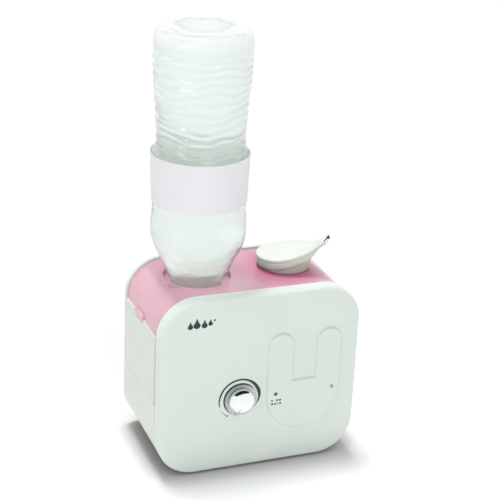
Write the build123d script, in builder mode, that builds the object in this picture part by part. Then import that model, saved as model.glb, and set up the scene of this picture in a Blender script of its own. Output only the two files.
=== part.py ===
"""Cool mist humidifier fed by an upturned drinks bottle: every piece is a separate solid.

The frame: +X to the right of the face, +Y to the back, +Z up, millimetres. The origin is the
middle of the object's footprint box, on the surface that it stands on.
"""

import os
from math import cos, pi, radians, sin

from build123d import *

os.makedirs("parts", exist_ok=True)

# ---------------------------------------------------------------- driving dimensions
WIDTH = 140.0          # body, left to right
HEIGHT = 126.0         # body, without its feet
DEPTH = 82.4           # body, front face to rear face
CORNER = 26.0          # outer corner radius seen from the front
FOOT_GAP = 1.0         # the body's underside above the table
KNOB_PROUD = 7.6       # the knob's face in front of the front panel

FRONT = KNOB_PROUD - (DEPTH + KNOB_PROUD) / 2
REAR = FRONT + DEPTH
FLOOR = FOOT_GAP
MIDDLE = FLOOR + HEIGHT / 2

PANEL_DEPTH = 9.0      # front panel, front to back
REAR_DEPTH = 4.0       # rear panel, front to back
WALL = 2.2             # moulded walls
RIM_ROUND = 2.4        # rounding of the front panel's edge
BODY_INSET = 0.2       # the middle body stands in from both panels by this much
COVER_INSET = 1.4      # the pink cover stands in a little more
GAP = 0.4              # between the cover and the reservoir below it
GROOVE_DEEP = 1.2      # shadow groove behind the front panel
SEAM = 0.35            # small step that shows the parting line on both sides
PART_LINE = FLOOR + 49.5   # where the base housing meets the reservoir
COVER_EDGE = FLOOR + 98.8  # lower edge of the cover on both sides

BODY_FRONT = FRONT + PANEL_DEPTH
BODY_REAR = REAR - REAR_DEPTH
AXIS_Y = FRONT + 45.7      # bottle and nozzle stand on this line
BOTTLE_X = -30.6
NOZZLE_X = 32.9
TOP = FLOOR + HEIGHT - COVER_INSET   # the cover's flat top

BASIN_FLOOR = FLOOR + 66.4   # upper side of the reservoir's floor
BASIN_THICK = 2.4
TONGUE_TOP = FLOOR + 62.8    # the base housing's front wall stands up to here
OPENING_X = 56.0             # half width of the reservoir's open top

KNOB_X = -13.8
KNOB_Z = FLOOR + 51.6
KNOB_R = 9.3
DISH_R = 11.8
DISH_DEEP = 0.9
SHAFT_R = 3.0
BUSHING_R = 3.5
LED_Z = FLOOR + 52.2
LED_XS = (11.2, 52.0)
LED_R = 1.35

RUNNING = 0.05         # radial clearance of a shaft in its hole
CLEAR = 0.25           # radial clearance of a screw in a through hole
EASY = 0.4             # clearance on the size of a part that drops into a window
PILOT_HEAD_R = 2.4     # head of the small screws inside
PILOT_HEAD = 1.6


def upright(y):
    """A vertical sketch plane at depth y; extruding from it goes towards the front."""
    return Plane.XZ.offset(-y)


def keep(part, name):
    """Labels a finished piece and writes its STEP file."""
    part.label = name
    export_step(part, f"parts/{name}.step")


def outline(inset):
    """The body's outline seen from the front, drawn inwards by inset."""
    with BuildSketch(mode=Mode.PRIVATE) as shape:
        with Locations((0, MIDDLE)):
            RectangleRounded(WIDTH - 2 * inset, HEIGHT - 2 * inset, CORNER - inset)
    return shape.sketch


# ---------------------------------------------------------------- front panel
LEG_WIDTH = 18.8       # the raised U on the face
U_MIDDLE_X = 31.25
U_RADIUS = 26.65
U_LOW_Z = FLOOR + 50.1
U_TOP_Z = FLOOR + 87.35
U_SLOT_Z = FLOOR + 61.1
U_PROUD = 1.5
U_DRAFT = 35.0         # slope of its sides
U_SOFT = 0.9           # rounding along its top edge
BOSS_R = 3.2
SCREW_R = 1.25
BOSS_X = 58.0
BOSS_ZS = (FLOOR + 22.0, FLOOR + 104.0)
PANEL_SCREWS = [(x, z) for x in (-BOSS_X, BOSS_X) for z in BOSS_ZS]



def raised_u(inset):
    """The outline of the raised U, drawn in by inset."""
    leg = LEG_WIDTH / 2 - inset
    half_slot = U_RADIUS - LEG_WIDTH + inset
    leg_x = U_RADIUS - LEG_WIDTH / 2
    top_z, low_z, slot_z = U_TOP_Z, U_LOW_Z, U_SLOT_Z - inset
    with BuildSketch(mode=Mode.PRIVATE) as shape:
        with BuildLine():
            start = (U_MIDDLE_X - U_RADIUS + inset, low_z)
            left = Line(start, (U_MIDDLE_X - U_RADIUS + inset, top_z))
            left_top = ThreePointArc(left @ 1, (U_MIDDLE_X - leg_x, top_z + leg), (U_MIDDLE_X - half_slot, top_z))
            slot_side = Polyline(left_top @ 1, (U_MIDDLE_X - half_slot, slot_z), (U_MIDDLE_X + half_slot, slot_z),
                                 (U_MIDDLE_X + half_slot, top_z))
            right_top = ThreePointArc(slot_side @ 1, (U_MIDDLE_X + leg_x, top_z + leg),
                                      (U_MIDDLE_X + U_RADIUS - inset, top_z))
            right = Line(right_top @ 1, (U_MIDDLE_X + U_RADIUS - inset, low_z))
            ThreePointArc(right @ 1, (U_MIDDLE_X, low_z - U_RADIUS + inset), start)
        make_face()
    return shape.sketch


with BuildPart() as front_panel:
    with BuildSketch(upright(BODY_FRONT)):
        add(outline(0))
    extrude(amount=PANEL_DEPTH)
    fillet(front_panel.faces().sort_by(Axis.Y)[0].edges(), RIM_ROUND)
    with BuildSketch(upright(BODY_FRONT)):
        add(outline(WALL))
    extrude(amount=PANEL_DEPTH - WALL, mode=Mode.SUBTRACT)
    with BuildSketch(upright(BODY_FRONT)):
        with Locations(*PANEL_SCREWS):
            Circle(BOSS_R)
    extrude(amount=PANEL_DEPTH - WALL)
    with BuildSketch(upright(BODY_FRONT)):
        with Locations(*PANEL_SCREWS):
            Circle(SCREW_R)
    extrude(amount=PANEL_DEPTH - 2 * WALL, mode=Mode.SUBTRACT)
    with BuildSketch(upright(FRONT)):
        add(raised_u(0))
    extrude(amount=U_PROUD, taper=U_DRAFT)
    fillet(front_panel.faces().sort_by(Axis.Y)[0].edges(), U_SOFT)
    with BuildSketch(upright(FRONT + DISH_DEEP)):
        with Locations((KNOB_X, KNOB_Z)):
            Circle(DISH_R)
    extrude(amount=DISH_DEEP, mode=Mode.SUBTRACT)
    with BuildSketch(upright(BODY_FRONT)):
        with Locations((KNOB_X, KNOB_Z)):
            Circle(SHAFT_R + 2.2)
        with Locations(*[(x, LED_Z) for x in LED_XS]):
            Circle(LED_R)
    extrude(amount=PANEL_DEPTH + U_PROUD, mode=Mode.SUBTRACT)
keep(front_panel.part, "front_panel")

# ---------------------------------------------------------------- rear panel
JACK_X = -32.0
JACK_Z = FLOOR + 16.0
JACK_WIDTH = 9.0
JACK_HIGH = 11.0
REAR_SCREW_X = 52.0
REAR_SCREW_ZS = (FLOOR + 20.0, FLOOR + 106.0)
REAR_SCREWS = [(x, z) for x in (-REAR_SCREW_X, REAR_SCREW_X) for z in REAR_SCREW_ZS]
SCREW_HEAD_R = 2.8
HEAD_DEEP = 1.8
REAR_ROUND = 1.8       # rounding at the back
REAR_LIP = 1.0         # and where it meets the body
VENT_X = 12.0
VENT_Z = FLOOR + 26.0
VENT_LONG = 34.0
VENT_WIDE = 2.4
VENT_STEP = 5.0
VENT_COUNT = 6

with BuildPart() as rear_panel:
    with BuildSketch(upright(REAR)):
        add(outline(0))
    extrude(amount=REAR_DEPTH)
    fillet(rear_panel.faces().sort_by(Axis.Y)[-1].edges(), REAR_ROUND)
    fillet(rear_panel.faces().sort_by(Axis.Y)[0].edges(), REAR_LIP)
    with BuildSketch(upright(REAR)):
        with Locations(*REAR_SCREWS):
            Circle(SCREW_HEAD_R + 0.3)
    extrude(amount=HEAD_DEEP, mode=Mode.SUBTRACT)
    with BuildSketch(upright(REAR)):
        with Locations(*REAR_SCREWS):
            Circle(SCREW_R + CLEAR)
        with Locations((JACK_X, JACK_Z)):
            RectangleRounded(JACK_WIDTH + EASY, JACK_HIGH + EASY, 1.5)
        with Locations((VENT_X, VENT_Z)):
            with GridLocations(0, VENT_STEP, 1, VENT_COUNT):
                SlotOverall(VENT_LONG, VENT_WIDE)
    extrude(amount=REAR_DEPTH, mode=Mode.SUBTRACT)
keep(rear_panel.part, "rear_panel")

# ---------------------------------------------------------------- base housing
BIG = 400.0            # larger than the object, for cutting blocks
GROOVE_LOW = 1.4       # width of the shadow groove below the parting line
GROOVE_HIGH = 3.5      # and above it
FAN_X = 14.0
FAN_Y = AXIS_Y + 7.0
FAN_SIZE = 40.0
INTAKE_SLOT = 26.0
INTAKE_STEP = 4.6
INTAKE_COUNT = 7
FLOOR_TOP = FLOOR + BODY_INSET + WALL
FILTER_THICK = 3.0
FAN_HOLES = [(FAN_X + i * 16.0, FAN_Y + j * 16.0) for i in (-1, 1) for j in (-1, 1)]
BOARD_Z = FLOOR + 30.0
BOARD_X = -30.0
BOARD_Y = AXIS_Y - 1.0
BOARD_SIZE = 44.0
BOARD_HOLES = [(BOARD_X + i * 18.0, BOARD_Y + j * 18.0) for i in (-1, 1) for j in (-1, 1)]

with BuildPart() as base_housing:
    with BuildSketch(upright(BODY_REAR)):
        add(outline(BODY_INSET))
    extrude(amount=BODY_REAR - BODY_FRONT - GROOVE_LOW)
    with BuildSketch(upright(BODY_FRONT + GROOVE_LOW)):
        add(outline(BODY_INSET + GROOVE_DEEP))
    extrude(amount=GROOVE_LOW)
    with BuildSketch(upright(BODY_REAR - WALL)):
        add(outline(BODY_INSET + WALL))
    extrude(amount=BODY_REAR - BODY_FRONT - 2 * WALL, mode=Mode.SUBTRACT)
    with BuildSketch(Plane.XY.offset(PART_LINE)):
        with Locations((0, BODY_FRONT + WALL + BIG / 2)):
            Rectangle(BIG, BIG)
    extrude(amount=BIG, mode=Mode.SUBTRACT)
    with BuildSketch(Plane.XY.offset(TONGUE_TOP)):
        Rectangle(BIG, BIG)
    extrude(amount=BIG, mode=Mode.SUBTRACT)
    with BuildSketch(upright(BODY_FRONT + WALL)):
        for side in (-1, 1):
            with Locations((side * (OPENING_X + BIG / 2), PART_LINE + BIG / 2)):
                Rectangle(BIG, BIG)
    extrude(amount=BIG, mode=Mode.SUBTRACT)
    with BuildSketch(upright(BODY_FRONT + WALL)):
        with Locations((KNOB_X, KNOB_Z)):
            Circle(BUSHING_R + 0.2)
        with Locations(*[(x, LED_Z) for x in LED_XS]):
            Circle(LED_R + 0.3)
        with Locations(*[(x, z) for x, z in PANEL_SCREWS if z < PART_LINE]):
            Circle(SCREW_R + CLEAR)
    extrude(amount=WALL, mode=Mode.SUBTRACT)
    with BuildSketch(upright(BODY_REAR)):
        with Locations((JACK_X, JACK_Z)):
            RectangleRounded(JACK_WIDTH + EASY, JACK_HIGH + EASY, 1.5)
        with Locations((VENT_X, VENT_Z)):
            with GridLocations(0, VENT_STEP, 1, VENT_COUNT):
                SlotOverall(VENT_LONG, VENT_WIDE)
        with Locations(*[(x, z) for x, z in REAR_SCREWS if z < PART_LINE]):
            Circle(SCREW_R)
    extrude(amount=WALL, mode=Mode.SUBTRACT)
    with BuildSketch(Plane.XY.offset(FLOOR)):
        with Locations((FAN_X, FAN_Y)):
            with GridLocations(0, INTAKE_STEP, 1, INTAKE_COUNT):
                SlotOverall(INTAKE_SLOT, VENT_WIDE)
    extrude(amount=FLOOR_TOP - FLOOR, mode=Mode.SUBTRACT)
    with BuildSketch(Plane.XY.offset(FLOOR_TOP)):
        with Locations(*FAN_HOLES):
            Circle(2.6)
    extrude(amount=FILTER_THICK)
    with BuildSketch(Plane.XY.offset(FLOOR_TOP)):
        with Locations(*BOARD_HOLES):
            Circle(3.0)
    extrude(amount=BOARD_Z - FLOOR_TOP)
    with BuildSketch(Plane.XY.offset(FLOOR_TOP)):
        with Locations(*FAN_HOLES):
            Circle(SCREW_R)
    extrude(amount=FILTER_THICK, mode=Mode.SUBTRACT)
    with BuildSketch(upright(BODY_REAR)):
        for side in (-1, 1):
            with Locations((side * (WIDTH / 2 - BODY_INSET), PART_LINE - SEAM / 2)):
                Rectangle(2 * SEAM, SEAM)
    extrude(amount=BODY_REAR - BODY_FRONT, mode=Mode.SUBTRACT)
keep(base_housing.part, "base_housing")

# ---------------------------------------------------------------- reservoir
SHELL_INSET = COVER_INSET + WALL + GAP    # the reservoir's upper part fits inside the cover
LEDGE_Z = COVER_EDGE - GAP                # the step that the cover's edge stands over
PIEZO_HOLE_R = 10.0
DUCT_X = 50.0
DUCT_Y = AXIS_Y + 15.0
DUCT_R = 6.0
DUCT_TOP = FLOOR + 104.0
PIN_R = 2.4
PLUNGER_TIP = FLOOR + 82.0
PIN_TOP = PLUNGER_TIP - 0.3
TAB_THICK = 1.2
TAB_ROOT = 2.4         # height of the tab's root on the cover's wall
TAB_Y = AXIS_Y + 2.3
TAB_LONG = 17.0
TAB_DROP = 3.3

FLOAT_X = 2.0
FLOAT_Y = AXIS_Y - 15.0
POST_R = 3.6
POST_TOP = BASIN_FLOOR + 27.0
CLAMP_ANGLES = (pi / 2, pi * 7 / 6, -pi / 6)
CLAMP_SCREWS = [(NOZZLE_X + 15.0 * cos(a), AXIS_Y + 15.0 * sin(a)) for a in CLAMP_ANGLES]

with BuildPart() as reservoir:
    with BuildSketch(upright(BODY_REAR)):
        add(outline(BODY_INSET))
    extrude(amount=BODY_REAR - BODY_FRONT - GROOVE_HIGH)
    with BuildSketch(upright(BODY_FRONT + GROOVE_HIGH)):
        add(outline(BODY_INSET + GROOVE_DEEP))
    extrude(amount=GROOVE_HIGH)
    with BuildSketch(Plane.XY.offset(LEDGE_Z)):
        Rectangle(BIG, BIG)
    extrude(amount=BIG, mode=Mode.SUBTRACT)
    with BuildSketch(upright(BODY_REAR)):
        add(outline(SHELL_INSET))
    extrude(amount=BODY_REAR - BODY_FRONT)
    with BuildSketch(Plane.XY):
        Rectangle(BIG, BIG)
    extrude(amount=PART_LINE, mode=Mode.SUBTRACT)
    with BuildSketch(upright(BODY_REAR - WALL)):
        add(outline(BODY_INSET + WALL))
        with Locations((0, BASIN_FLOOR - BASIN_THICK + BIG / 2)):
            Rectangle(BIG, BIG, mode=Mode.SUBTRACT)
    extrude(amount=BODY_REAR - BODY_FRONT - 2 * WALL, mode=Mode.SUBTRACT)
    with BuildSketch(upright(BODY_REAR - WALL)):
        with Locations((0, (BASIN_FLOOR + LEDGE_Z - WALL) / 2)):
            Rectangle(WIDTH - 2 * (BODY_INSET + WALL), LEDGE_Z - WALL - BASIN_FLOOR)
        add(outline(SHELL_INSET + WALL))
        with Locations((0, BASIN_FLOOR - BIG / 2)):
            Rectangle(BIG, BIG, mode=Mode.SUBTRACT)
    extrude(amount=BODY_REAR - BODY_FRONT - 2 * WALL, mode=Mode.SUBTRACT)
    with BuildSketch(Plane.XY.offset(DUCT_TOP)):
        with Locations((0, (BODY_FRONT + BODY_REAR) / 2)):
            Rectangle(2 * OPENING_X, BODY_REAR - BODY_FRONT - 2 * WALL)
    extrude(amount=BIG, mode=Mode.SUBTRACT)
    with BuildSketch(Plane.XY.offset(PART_LINE)):
        with Locations((0, BODY_FRONT + WALL / 2)):
            Rectangle(2 * OPENING_X + EASY, WALL + EASY / 2)
    extrude(amount=TONGUE_TOP - PART_LINE + EASY / 2, mode=Mode.SUBTRACT)
    with BuildSketch(Plane.XY.offset(BASIN_FLOOR - BASIN_THICK)):
        with Locations((DUCT_X, DUCT_Y)):
            Circle(DUCT_R + 1.5)
    extrude(amount=DUCT_TOP - BASIN_FLOOR + BASIN_THICK)
    with BuildSketch(Plane.XY.offset(BASIN_FLOOR)):
        with Locations((FLOAT_X, FLOAT_Y)):
            Circle(POST_R)
    extrude(amount=POST_TOP - BASIN_FLOOR)
    with BuildSketch(Plane.XY.offset(BASIN_FLOOR)):
        with Locations((BOTTLE_X, AXIS_Y)):
            Circle(PIN_R)
    extrude(amount=PIN_TOP - BASIN_FLOOR)
    with BuildSketch(Plane.XY.offset(BASIN_FLOOR)):
        with Locations(*CLAMP_SCREWS):
            Circle(3.0)
    extrude(amount=3.0)
    with BuildSketch(Plane.XY.offset(BASIN_FLOOR - BASIN_THICK)):
        with Locations((DUCT_X, DUCT_Y)):
            Circle(DUCT_R)
        with Locations((NOZZLE_X, AXIS_Y)):
            Circle(PIEZO_HOLE_R)
    extrude(amount=DUCT_TOP - BASIN_FLOOR + BASIN_THICK, mode=Mode.SUBTRACT)
    with BuildSketch(Plane.XY.offset(BASIN_FLOOR - BASIN_THICK)):
        with Locations(*CLAMP_SCREWS):
            Circle(SCREW_R)
    extrude(amount=BASIN_THICK + 1.5, mode=Mode.SUBTRACT)
    with BuildSketch(Plane.YZ.offset(-WIDTH / 2)):
        with Locations((TAB_Y, COVER_EDGE - TAB_DROP / 2)):
            Rectangle(TAB_LONG + 2 * GAP, TAB_DROP + 2 * GAP)
    extrude(amount=TAB_THICK + GAP, mode=Mode.SUBTRACT)
    with BuildSketch(upright(BODY_FRONT + WALL)):
        with Locations(*[(x, z) for x, z in PANEL_SCREWS if z > PART_LINE]):
            Circle(SCREW_R + CLEAR)
    extrude(amount=WALL, mode=Mode.SUBTRACT)
    with BuildSketch(upright(BODY_REAR)):
        with Locations(*[(x, z) for x, z in REAR_SCREWS if z > PART_LINE]):
            Circle(SCREW_R)
    extrude(amount=WALL, mode=Mode.SUBTRACT)
keep(reservoir.part, "reservoir")

# ---------------------------------------------------------------- pink top cover
COVER_FRONT = BODY_FRONT + 0.3
COVER_REAR = BODY_REAR - 0.3
WELL_R = 22.9          # the well that the bottle's shoulder drops into
WELL_DEEP = 6.5
WELL_Z = TOP - WELL_DEEP
SEAT_R = 17.0          # the ring in it that carries the shoulder
SEAT_TOP = FLOOR + 120.2
MIST_R = 12.6
SPIGOT_R = 14.0        # upstand that the nozzle turns on
SPIGOT_HIGH = 4.0
CHIMNEY_LONG = 14.0


def upright_at(x, y):
    """A vertical sketch plane through the axis x, y, for profiles that are revolved."""
    return Plane(origin=(x, y, 0), x_dir=(1, 0, 0), z_dir=(0, -1, 0))


def column(x, y):
    """The vertical axis at x, y."""
    return Axis((x, y, 0), (0, 0, 1))


def ring(z, x, y, outer, inner):
    """A ring, or a disc where inner is 0, lying at height z round the axis x, y."""
    with BuildSketch(Plane.XY.offset(z), mode=Mode.PRIVATE) as shape:
        with Locations((x, y)):
            Circle(outer)
            if inner:
                Circle(inner, mode=Mode.SUBTRACT)
    return shape.sketch


with BuildPart() as top_cover:
    with BuildSketch(upright(COVER_REAR)):
        add(outline(COVER_INSET))
        add(outline(COVER_INSET + WALL), mode=Mode.SUBTRACT)
        with Locations((0, COVER_EDGE - BIG / 2)):
            Rectangle(BIG, BIG, mode=Mode.SUBTRACT)
    extrude(amount=COVER_REAR - COVER_FRONT)
    with BuildSketch(Plane.YZ.offset(-WIDTH / 2)):
        with Locations((TAB_Y, COVER_EDGE + (TAB_ROOT - TAB_DROP) / 2)):
            RectangleRounded(TAB_LONG, TAB_ROOT + TAB_DROP, 1.6)
    extrude(amount=TAB_THICK)
    with BuildSketch(Plane.YZ.offset(-WIDTH / 2)):
        with Locations((TAB_Y, COVER_EDGE + TAB_ROOT / 2)):
            Rectangle(TAB_LONG - TAB_ROOT, TAB_ROOT)
    extrude(amount=COVER_INSET + WALL / 2)
    extrude(ring(WELL_Z, BOTTLE_X, AXIS_Y, WELL_R, 0), amount=WELL_DEEP, mode=Mode.SUBTRACT)
    extrude(ring(WELL_Z, BOTTLE_X, AXIS_Y, WELL_R + 1.8, WELL_R), amount=WELL_DEEP)
    extrude(ring(WELL_Z, BOTTLE_X, AXIS_Y, WELL_R + 1.8, SEAT_R), amount=1.8)
    extrude(ring(WELL_Z, BOTTLE_X, AXIS_Y, SEAT_R + 1.4, SEAT_R), amount=SEAT_TOP - WELL_Z)
    extrude(ring(TOP - WALL, NOZZLE_X, AXIS_Y, MIST_R, 0), amount=WALL, mode=Mode.SUBTRACT)
    extrude(ring(TOP, NOZZLE_X, AXIS_Y, SPIGOT_R, MIST_R), amount=SPIGOT_HIGH)
    extrude(ring(TOP - CHIMNEY_LONG, NOZZLE_X, AXIS_Y, SPIGOT_R, MIST_R), amount=CHIMNEY_LONG)
keep(top_cover.part, "top_cover")

# ---------------------------------------------------------------- mist nozzle
SPOUT_TURN = -38.0     # degrees from +X towards the front
HEAD_R = 20.2
COLLAR_R = 17.4
COLLAR_BORE = SPIGOT_R + 0.3
COLLAR_Z = TOP + 0.3
COLLAR_TOP = FLOOR + 133.4
BORE_TOP = FLOOR + 130.0
PLATE_THICK = 2.4
SHELL_THICK = 1.8
TIP_HALF = 8.0
TIP_TOP = (26.8, FLOOR + 149.6)
TIP_LOW = (29.6, FLOOR + 146.0)
PLATE_CURVE = [
    (-HEAD_R, FLOOR + 133.4),
    (0, FLOOR + 135.4),
    (14.0, FLOOR + 139.4),
    (22.0, FLOOR + 144.4),
    TIP_TOP,
]
SLOT_WIDE = 12.0
SLOT_HIGH = 2.5

turn = radians(SPOUT_TURN)
spout_plan = Plane(origin=(NOZZLE_X, AXIS_Y, 0), x_dir=(cos(turn), sin(turn), 0), z_dir=(0, 0, 1))
spout_side = Plane(origin=(NOZZLE_X, AXIS_Y, 0), x_dir=(cos(turn), sin(turn), 0), z_dir=(sin(turn), -cos(turn), 0))


def head_plan(inset):
    """The head seen from above: a round back drawn out into the spout, all drawn in by inset."""
    with BuildSketch(spout_plan, mode=Mode.PRIVATE) as plan:
        Circle(HEAD_R - inset)
        with Locations((TIP_LOW[0] - 1.0 - 1.5 * inset, 0)):
            Rectangle(2.0, 2 * (TIP_HALF - inset))
        make_hull()
    return plan.sketch


def side_profile(low_rise):
    """The head seen from the side, with its underside raised by low_rise."""
    with BuildSketch(spout_side, mode=Mode.PRIVATE) as profile:
        with BuildLine():
            top = Spline(PLATE_CURVE)
            tip = Line(PLATE_CURVE[-1], (TIP_LOW[0], TIP_LOW[1] + low_rise))
            belly = Spline(tip @ 1, (24.0, FLOOR + 138.6 + low_rise), (COLLAR_R, FLOOR + 132.4 + low_rise))
            under = Polyline(belly @ 1, (-COLLAR_R, FLOOR + 125.3 + low_rise),
                             (-HEAD_R, FLOOR + 127.0 + low_rise), top @ 0)
        make_face()
    return profile.sketch


def beyond_plate(far_z):
    """Everything from the underside of the top plate to the height far_z, as a side profile."""
    points = [(u, z - PLATE_THICK) for u, z in PLATE_CURVE]
    with BuildSketch(spout_side, mode=Mode.PRIVATE) as block:
        with BuildLine():
            Polyline((-BIG, points[0][1]), points[0])
            Spline(points)
            Polyline(points[-1], (BIG, points[-1][1]), (BIG, far_z), (-BIG, far_z), (-BIG, points[0][1]))
        make_face()
    return block.sketch


tip_middle = ((TIP_TOP[0] + TIP_LOW[0]) / 2, (TIP_TOP[1] + TIP_LOW[1]) / 2)
tip_slope = (TIP_TOP[1] - TIP_LOW[1], TIP_LOW[0] - TIP_TOP[0])
slot_plane = Plane(
    origin=(NOZZLE_X + tip_middle[0] * cos(turn), AXIS_Y + tip_middle[0] * sin(turn), tip_middle[1]),
    x_dir=(-sin(turn), cos(turn), 0),
    z_dir=(tip_slope[0] * cos(turn), tip_slope[0] * sin(turn), tip_slope[1]),
)
with BuildSketch(slot_plane) as slot:
    RectangleRounded(SLOT_WIDE, SLOT_HIGH, 0.6)
SLOT_DEEP = 5.0

with BuildPart() as nozzle_upper:
    extrude(head_plan(0), amount=BIG)
    extrude(side_profile(0), amount=BIG / 2, both=True, mode=Mode.INTERSECT)
    extrude(beyond_plate(0), amount=BIG / 2, both=True, mode=Mode.SUBTRACT)
    extrude(slot.sketch, amount=SLOT_DEEP, both=True, mode=Mode.SUBTRACT)
keep(nozzle_upper.part, "nozzle_upper")

with BuildPart() as mist_space:
    extrude(head_plan(SHELL_THICK), amount=BIG)
    extrude(side_profile(SHELL_THICK), amount=BIG / 2, both=True, mode=Mode.INTERSECT)
    extrude(ring(COLLAR_Z, NOZZLE_X, AXIS_Y, COLLAR_BORE, 0), amount=BORE_TOP - COLLAR_Z)

with BuildPart() as nozzle_lower:
    extrude(head_plan(0), amount=BIG)
    extrude(side_profile(0), amount=BIG / 2, both=True, mode=Mode.INTERSECT)
    extrude(ring(COLLAR_Z, NOZZLE_X, AXIS_Y, COLLAR_R, 0), amount=COLLAR_TOP - COLLAR_Z)
    extrude(beyond_plate(BIG), amount=BIG / 2, both=True, mode=Mode.SUBTRACT)
    add(mist_space.part, mode=Mode.SUBTRACT)
    extrude(slot.sketch, amount=SLOT_DEEP, both=True, mode=Mode.SUBTRACT)
keep(nozzle_lower.part, "nozzle_lower")

# ---------------------------------------------------------------- bottle and its label
LIP_Z = FLOOR + 91.0
BOTTLE_TOP = FLOOR + 293.0
NECK_R = 13.2
NECK_ROOT = FLOOR + 115.0
BOTTLE_WALL = 0.7
SHOULDER = [(15.4, 119.0), (19.2, 124.6), (24.4, 136.9), (28.8, 146.2), (31.4, 154.0)]
LABEL_LOW = FLOOR + 178.6
LABEL_TOP = FLOOR + 211.6
LABEL_R = (31.6, 32.4)
LABEL_THICK = 0.25
WAIST = [(29.3, 217.0), (29.0, 224.0), (29.9, 236.0), (31.0, 252.0), (31.9, 262.0)]
UPPER_R = 32.0


def bottle_profile(inset):
    """Half of the bottle's section, upside down, drawn in by inset."""
    def at(radius, height):
        return (radius - inset, FLOOR + height)

    with BuildSketch(upright_at(BOTTLE_X, AXIS_Y), mode=Mode.PRIVATE) as half:
        with BuildLine():
            neck = Polyline((0, LIP_Z), (NECK_R - inset, LIP_Z), (NECK_R - inset, NECK_ROOT))
            shoulder = Spline([neck @ 1] + [at(r, z) for r, z in SHOULDER])
            band = Polyline(shoulder @ 1, (LABEL_R[0] - LABEL_THICK - inset, LABEL_LOW),
                            (LABEL_R[1] - LABEL_THICK - inset, LABEL_TOP))
            waist = Spline([band @ 1] + [at(r, z) for r, z in WAIST])
            side = Line(waist @ 1, at(UPPER_R, 284.0))
            heel = Spline([side @ 1, at(30.6, 290.0), (24.0, BOTTLE_TOP - inset)])
            Polyline(heel @ 1, (0, BOTTLE_TOP - inset), (0, LIP_Z))
        make_face()
    return half.sketch


with BuildPart() as bottle:
    revolve(bottle_profile(0), axis=column(BOTTLE_X, AXIS_Y))
    extrude(ring(FLOOR + 111.4, BOTTLE_X, AXIS_Y, 16.4, 0), amount=1.6)
    for bead in range(3):
        extrude(ring(FLOOR + 95.0 + 4.2 * bead, BOTTLE_X, AXIS_Y, NECK_R + 0.6, 0), amount=1.2)
    revolve(bottle_profile(BOTTLE_WALL), axis=column(BOTTLE_X, AXIS_Y), mode=Mode.SUBTRACT)
    extrude(ring(LIP_Z, BOTTLE_X, AXIS_Y, NECK_R - 2.2, 0), amount=NECK_ROOT - LIP_Z, mode=Mode.SUBTRACT)
keep(bottle.part, "bottle")

with BuildPart() as bottle_label:
    with BuildSketch(upright_at(BOTTLE_X, AXIS_Y)):
        with BuildLine():
            Polyline((LABEL_R[0] - LABEL_THICK, LABEL_LOW), (LABEL_R[0], LABEL_LOW),
                     (LABEL_R[1], LABEL_TOP), (LABEL_R[1] - LABEL_THICK, LABEL_TOP), close=True)
        make_face()
    revolve(axis=column(BOTTLE_X, AXIS_Y))
keep(bottle_label.part, "bottle_label")

# ---------------------------------------------------------------- bottle's valve
CAP_Z = FLOOR + 87.0
CAP_R = 15.6
CAP_BASE = 2.4
CAP_TOP = FLOOR + 106.0
PORT_R = 5.0
CAGE_R = 9.6
CAGE_TOP = FLOOR + 104.0
STEM_R = 2.0
VALVE_TRAVEL = 4.0
SEAL_Z = CAP_Z + CAP_BASE + VALVE_TRAVEL + 0.3
SEAL_THICK = 0.8
HEAD_THICK = 1.6
BRIDGE_THICK = 1.6
WIRE_R = 0.4
COIL_R = 4.2
COIL_TURNS = 3

with BuildPart() as valve_cap:
    extrude(ring(CAP_Z, BOTTLE_X, AXIS_Y, CAP_R, PORT_R), amount=CAP_BASE)
    extrude(ring(CAP_Z, BOTTLE_X, AXIS_Y, CAP_R, NECK_R + 0.6), amount=CAP_TOP - CAP_Z)
keep(valve_cap.part, "valve_cap")

with BuildPart() as cap_washer:
    extrude(ring(CAP_Z + CAP_BASE, BOTTLE_X, AXIS_Y, NECK_R + 0.4, CAGE_R + 0.3),
            amount=LIP_Z - CAP_Z - CAP_BASE)
keep(cap_washer.part, "cap_washer")

with BuildPart() as valve_cage:
    extrude(ring(CAP_Z + CAP_BASE, BOTTLE_X, AXIS_Y, CAGE_R, CAGE_R - 1.6), amount=CAGE_TOP - CAP_Z - CAP_BASE)
    with BuildSketch(upright_at(BOTTLE_X, AXIS_Y)):
        with Locations((0, CAP_Z + 9.5)):
            RectangleRounded(9.0, 8.0, 2.0)
    extrude(amount=2 * CAGE_R, both=True, mode=Mode.SUBTRACT)
    extrude(ring(CAGE_TOP - BRIDGE_THICK, BOTTLE_X, AXIS_Y, CAGE_R - 0.8, 0), amount=BRIDGE_THICK)
    with BuildSketch(Plane.XY.offset(CAGE_TOP)):
        with Locations((BOTTLE_X, AXIS_Y)):
            Circle(STEM_R + RUNNING)
            with PolarLocations(5.6, 4):
                Circle(1.3)
    extrude(amount=-BRIDGE_THICK, mode=Mode.SUBTRACT)
keep(valve_cage.part, "valve_cage")

with BuildPart() as valve_plunger:
    extrude(ring(PLUNGER_TIP, BOTTLE_X, AXIS_Y, STEM_R, 0), amount=FLOOR + 109.0 - PLUNGER_TIP)
    extrude(ring(SEAL_Z + SEAL_THICK, BOTTLE_X, AXIS_Y, 6.8, 0), amount=HEAD_THICK)
    fillet(valve_plunger.faces().sort_by(Axis.Z)[0].edges(), 0.8)
keep(valve_plunger.part, "valve_plunger")

with BuildPart() as plunger_seal:
    extrude(ring(SEAL_Z, BOTTLE_X, AXIS_Y, 6.6, STEM_R), amount=SEAL_THICK)
keep(plunger_seal.part, "plunger_seal")

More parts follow.
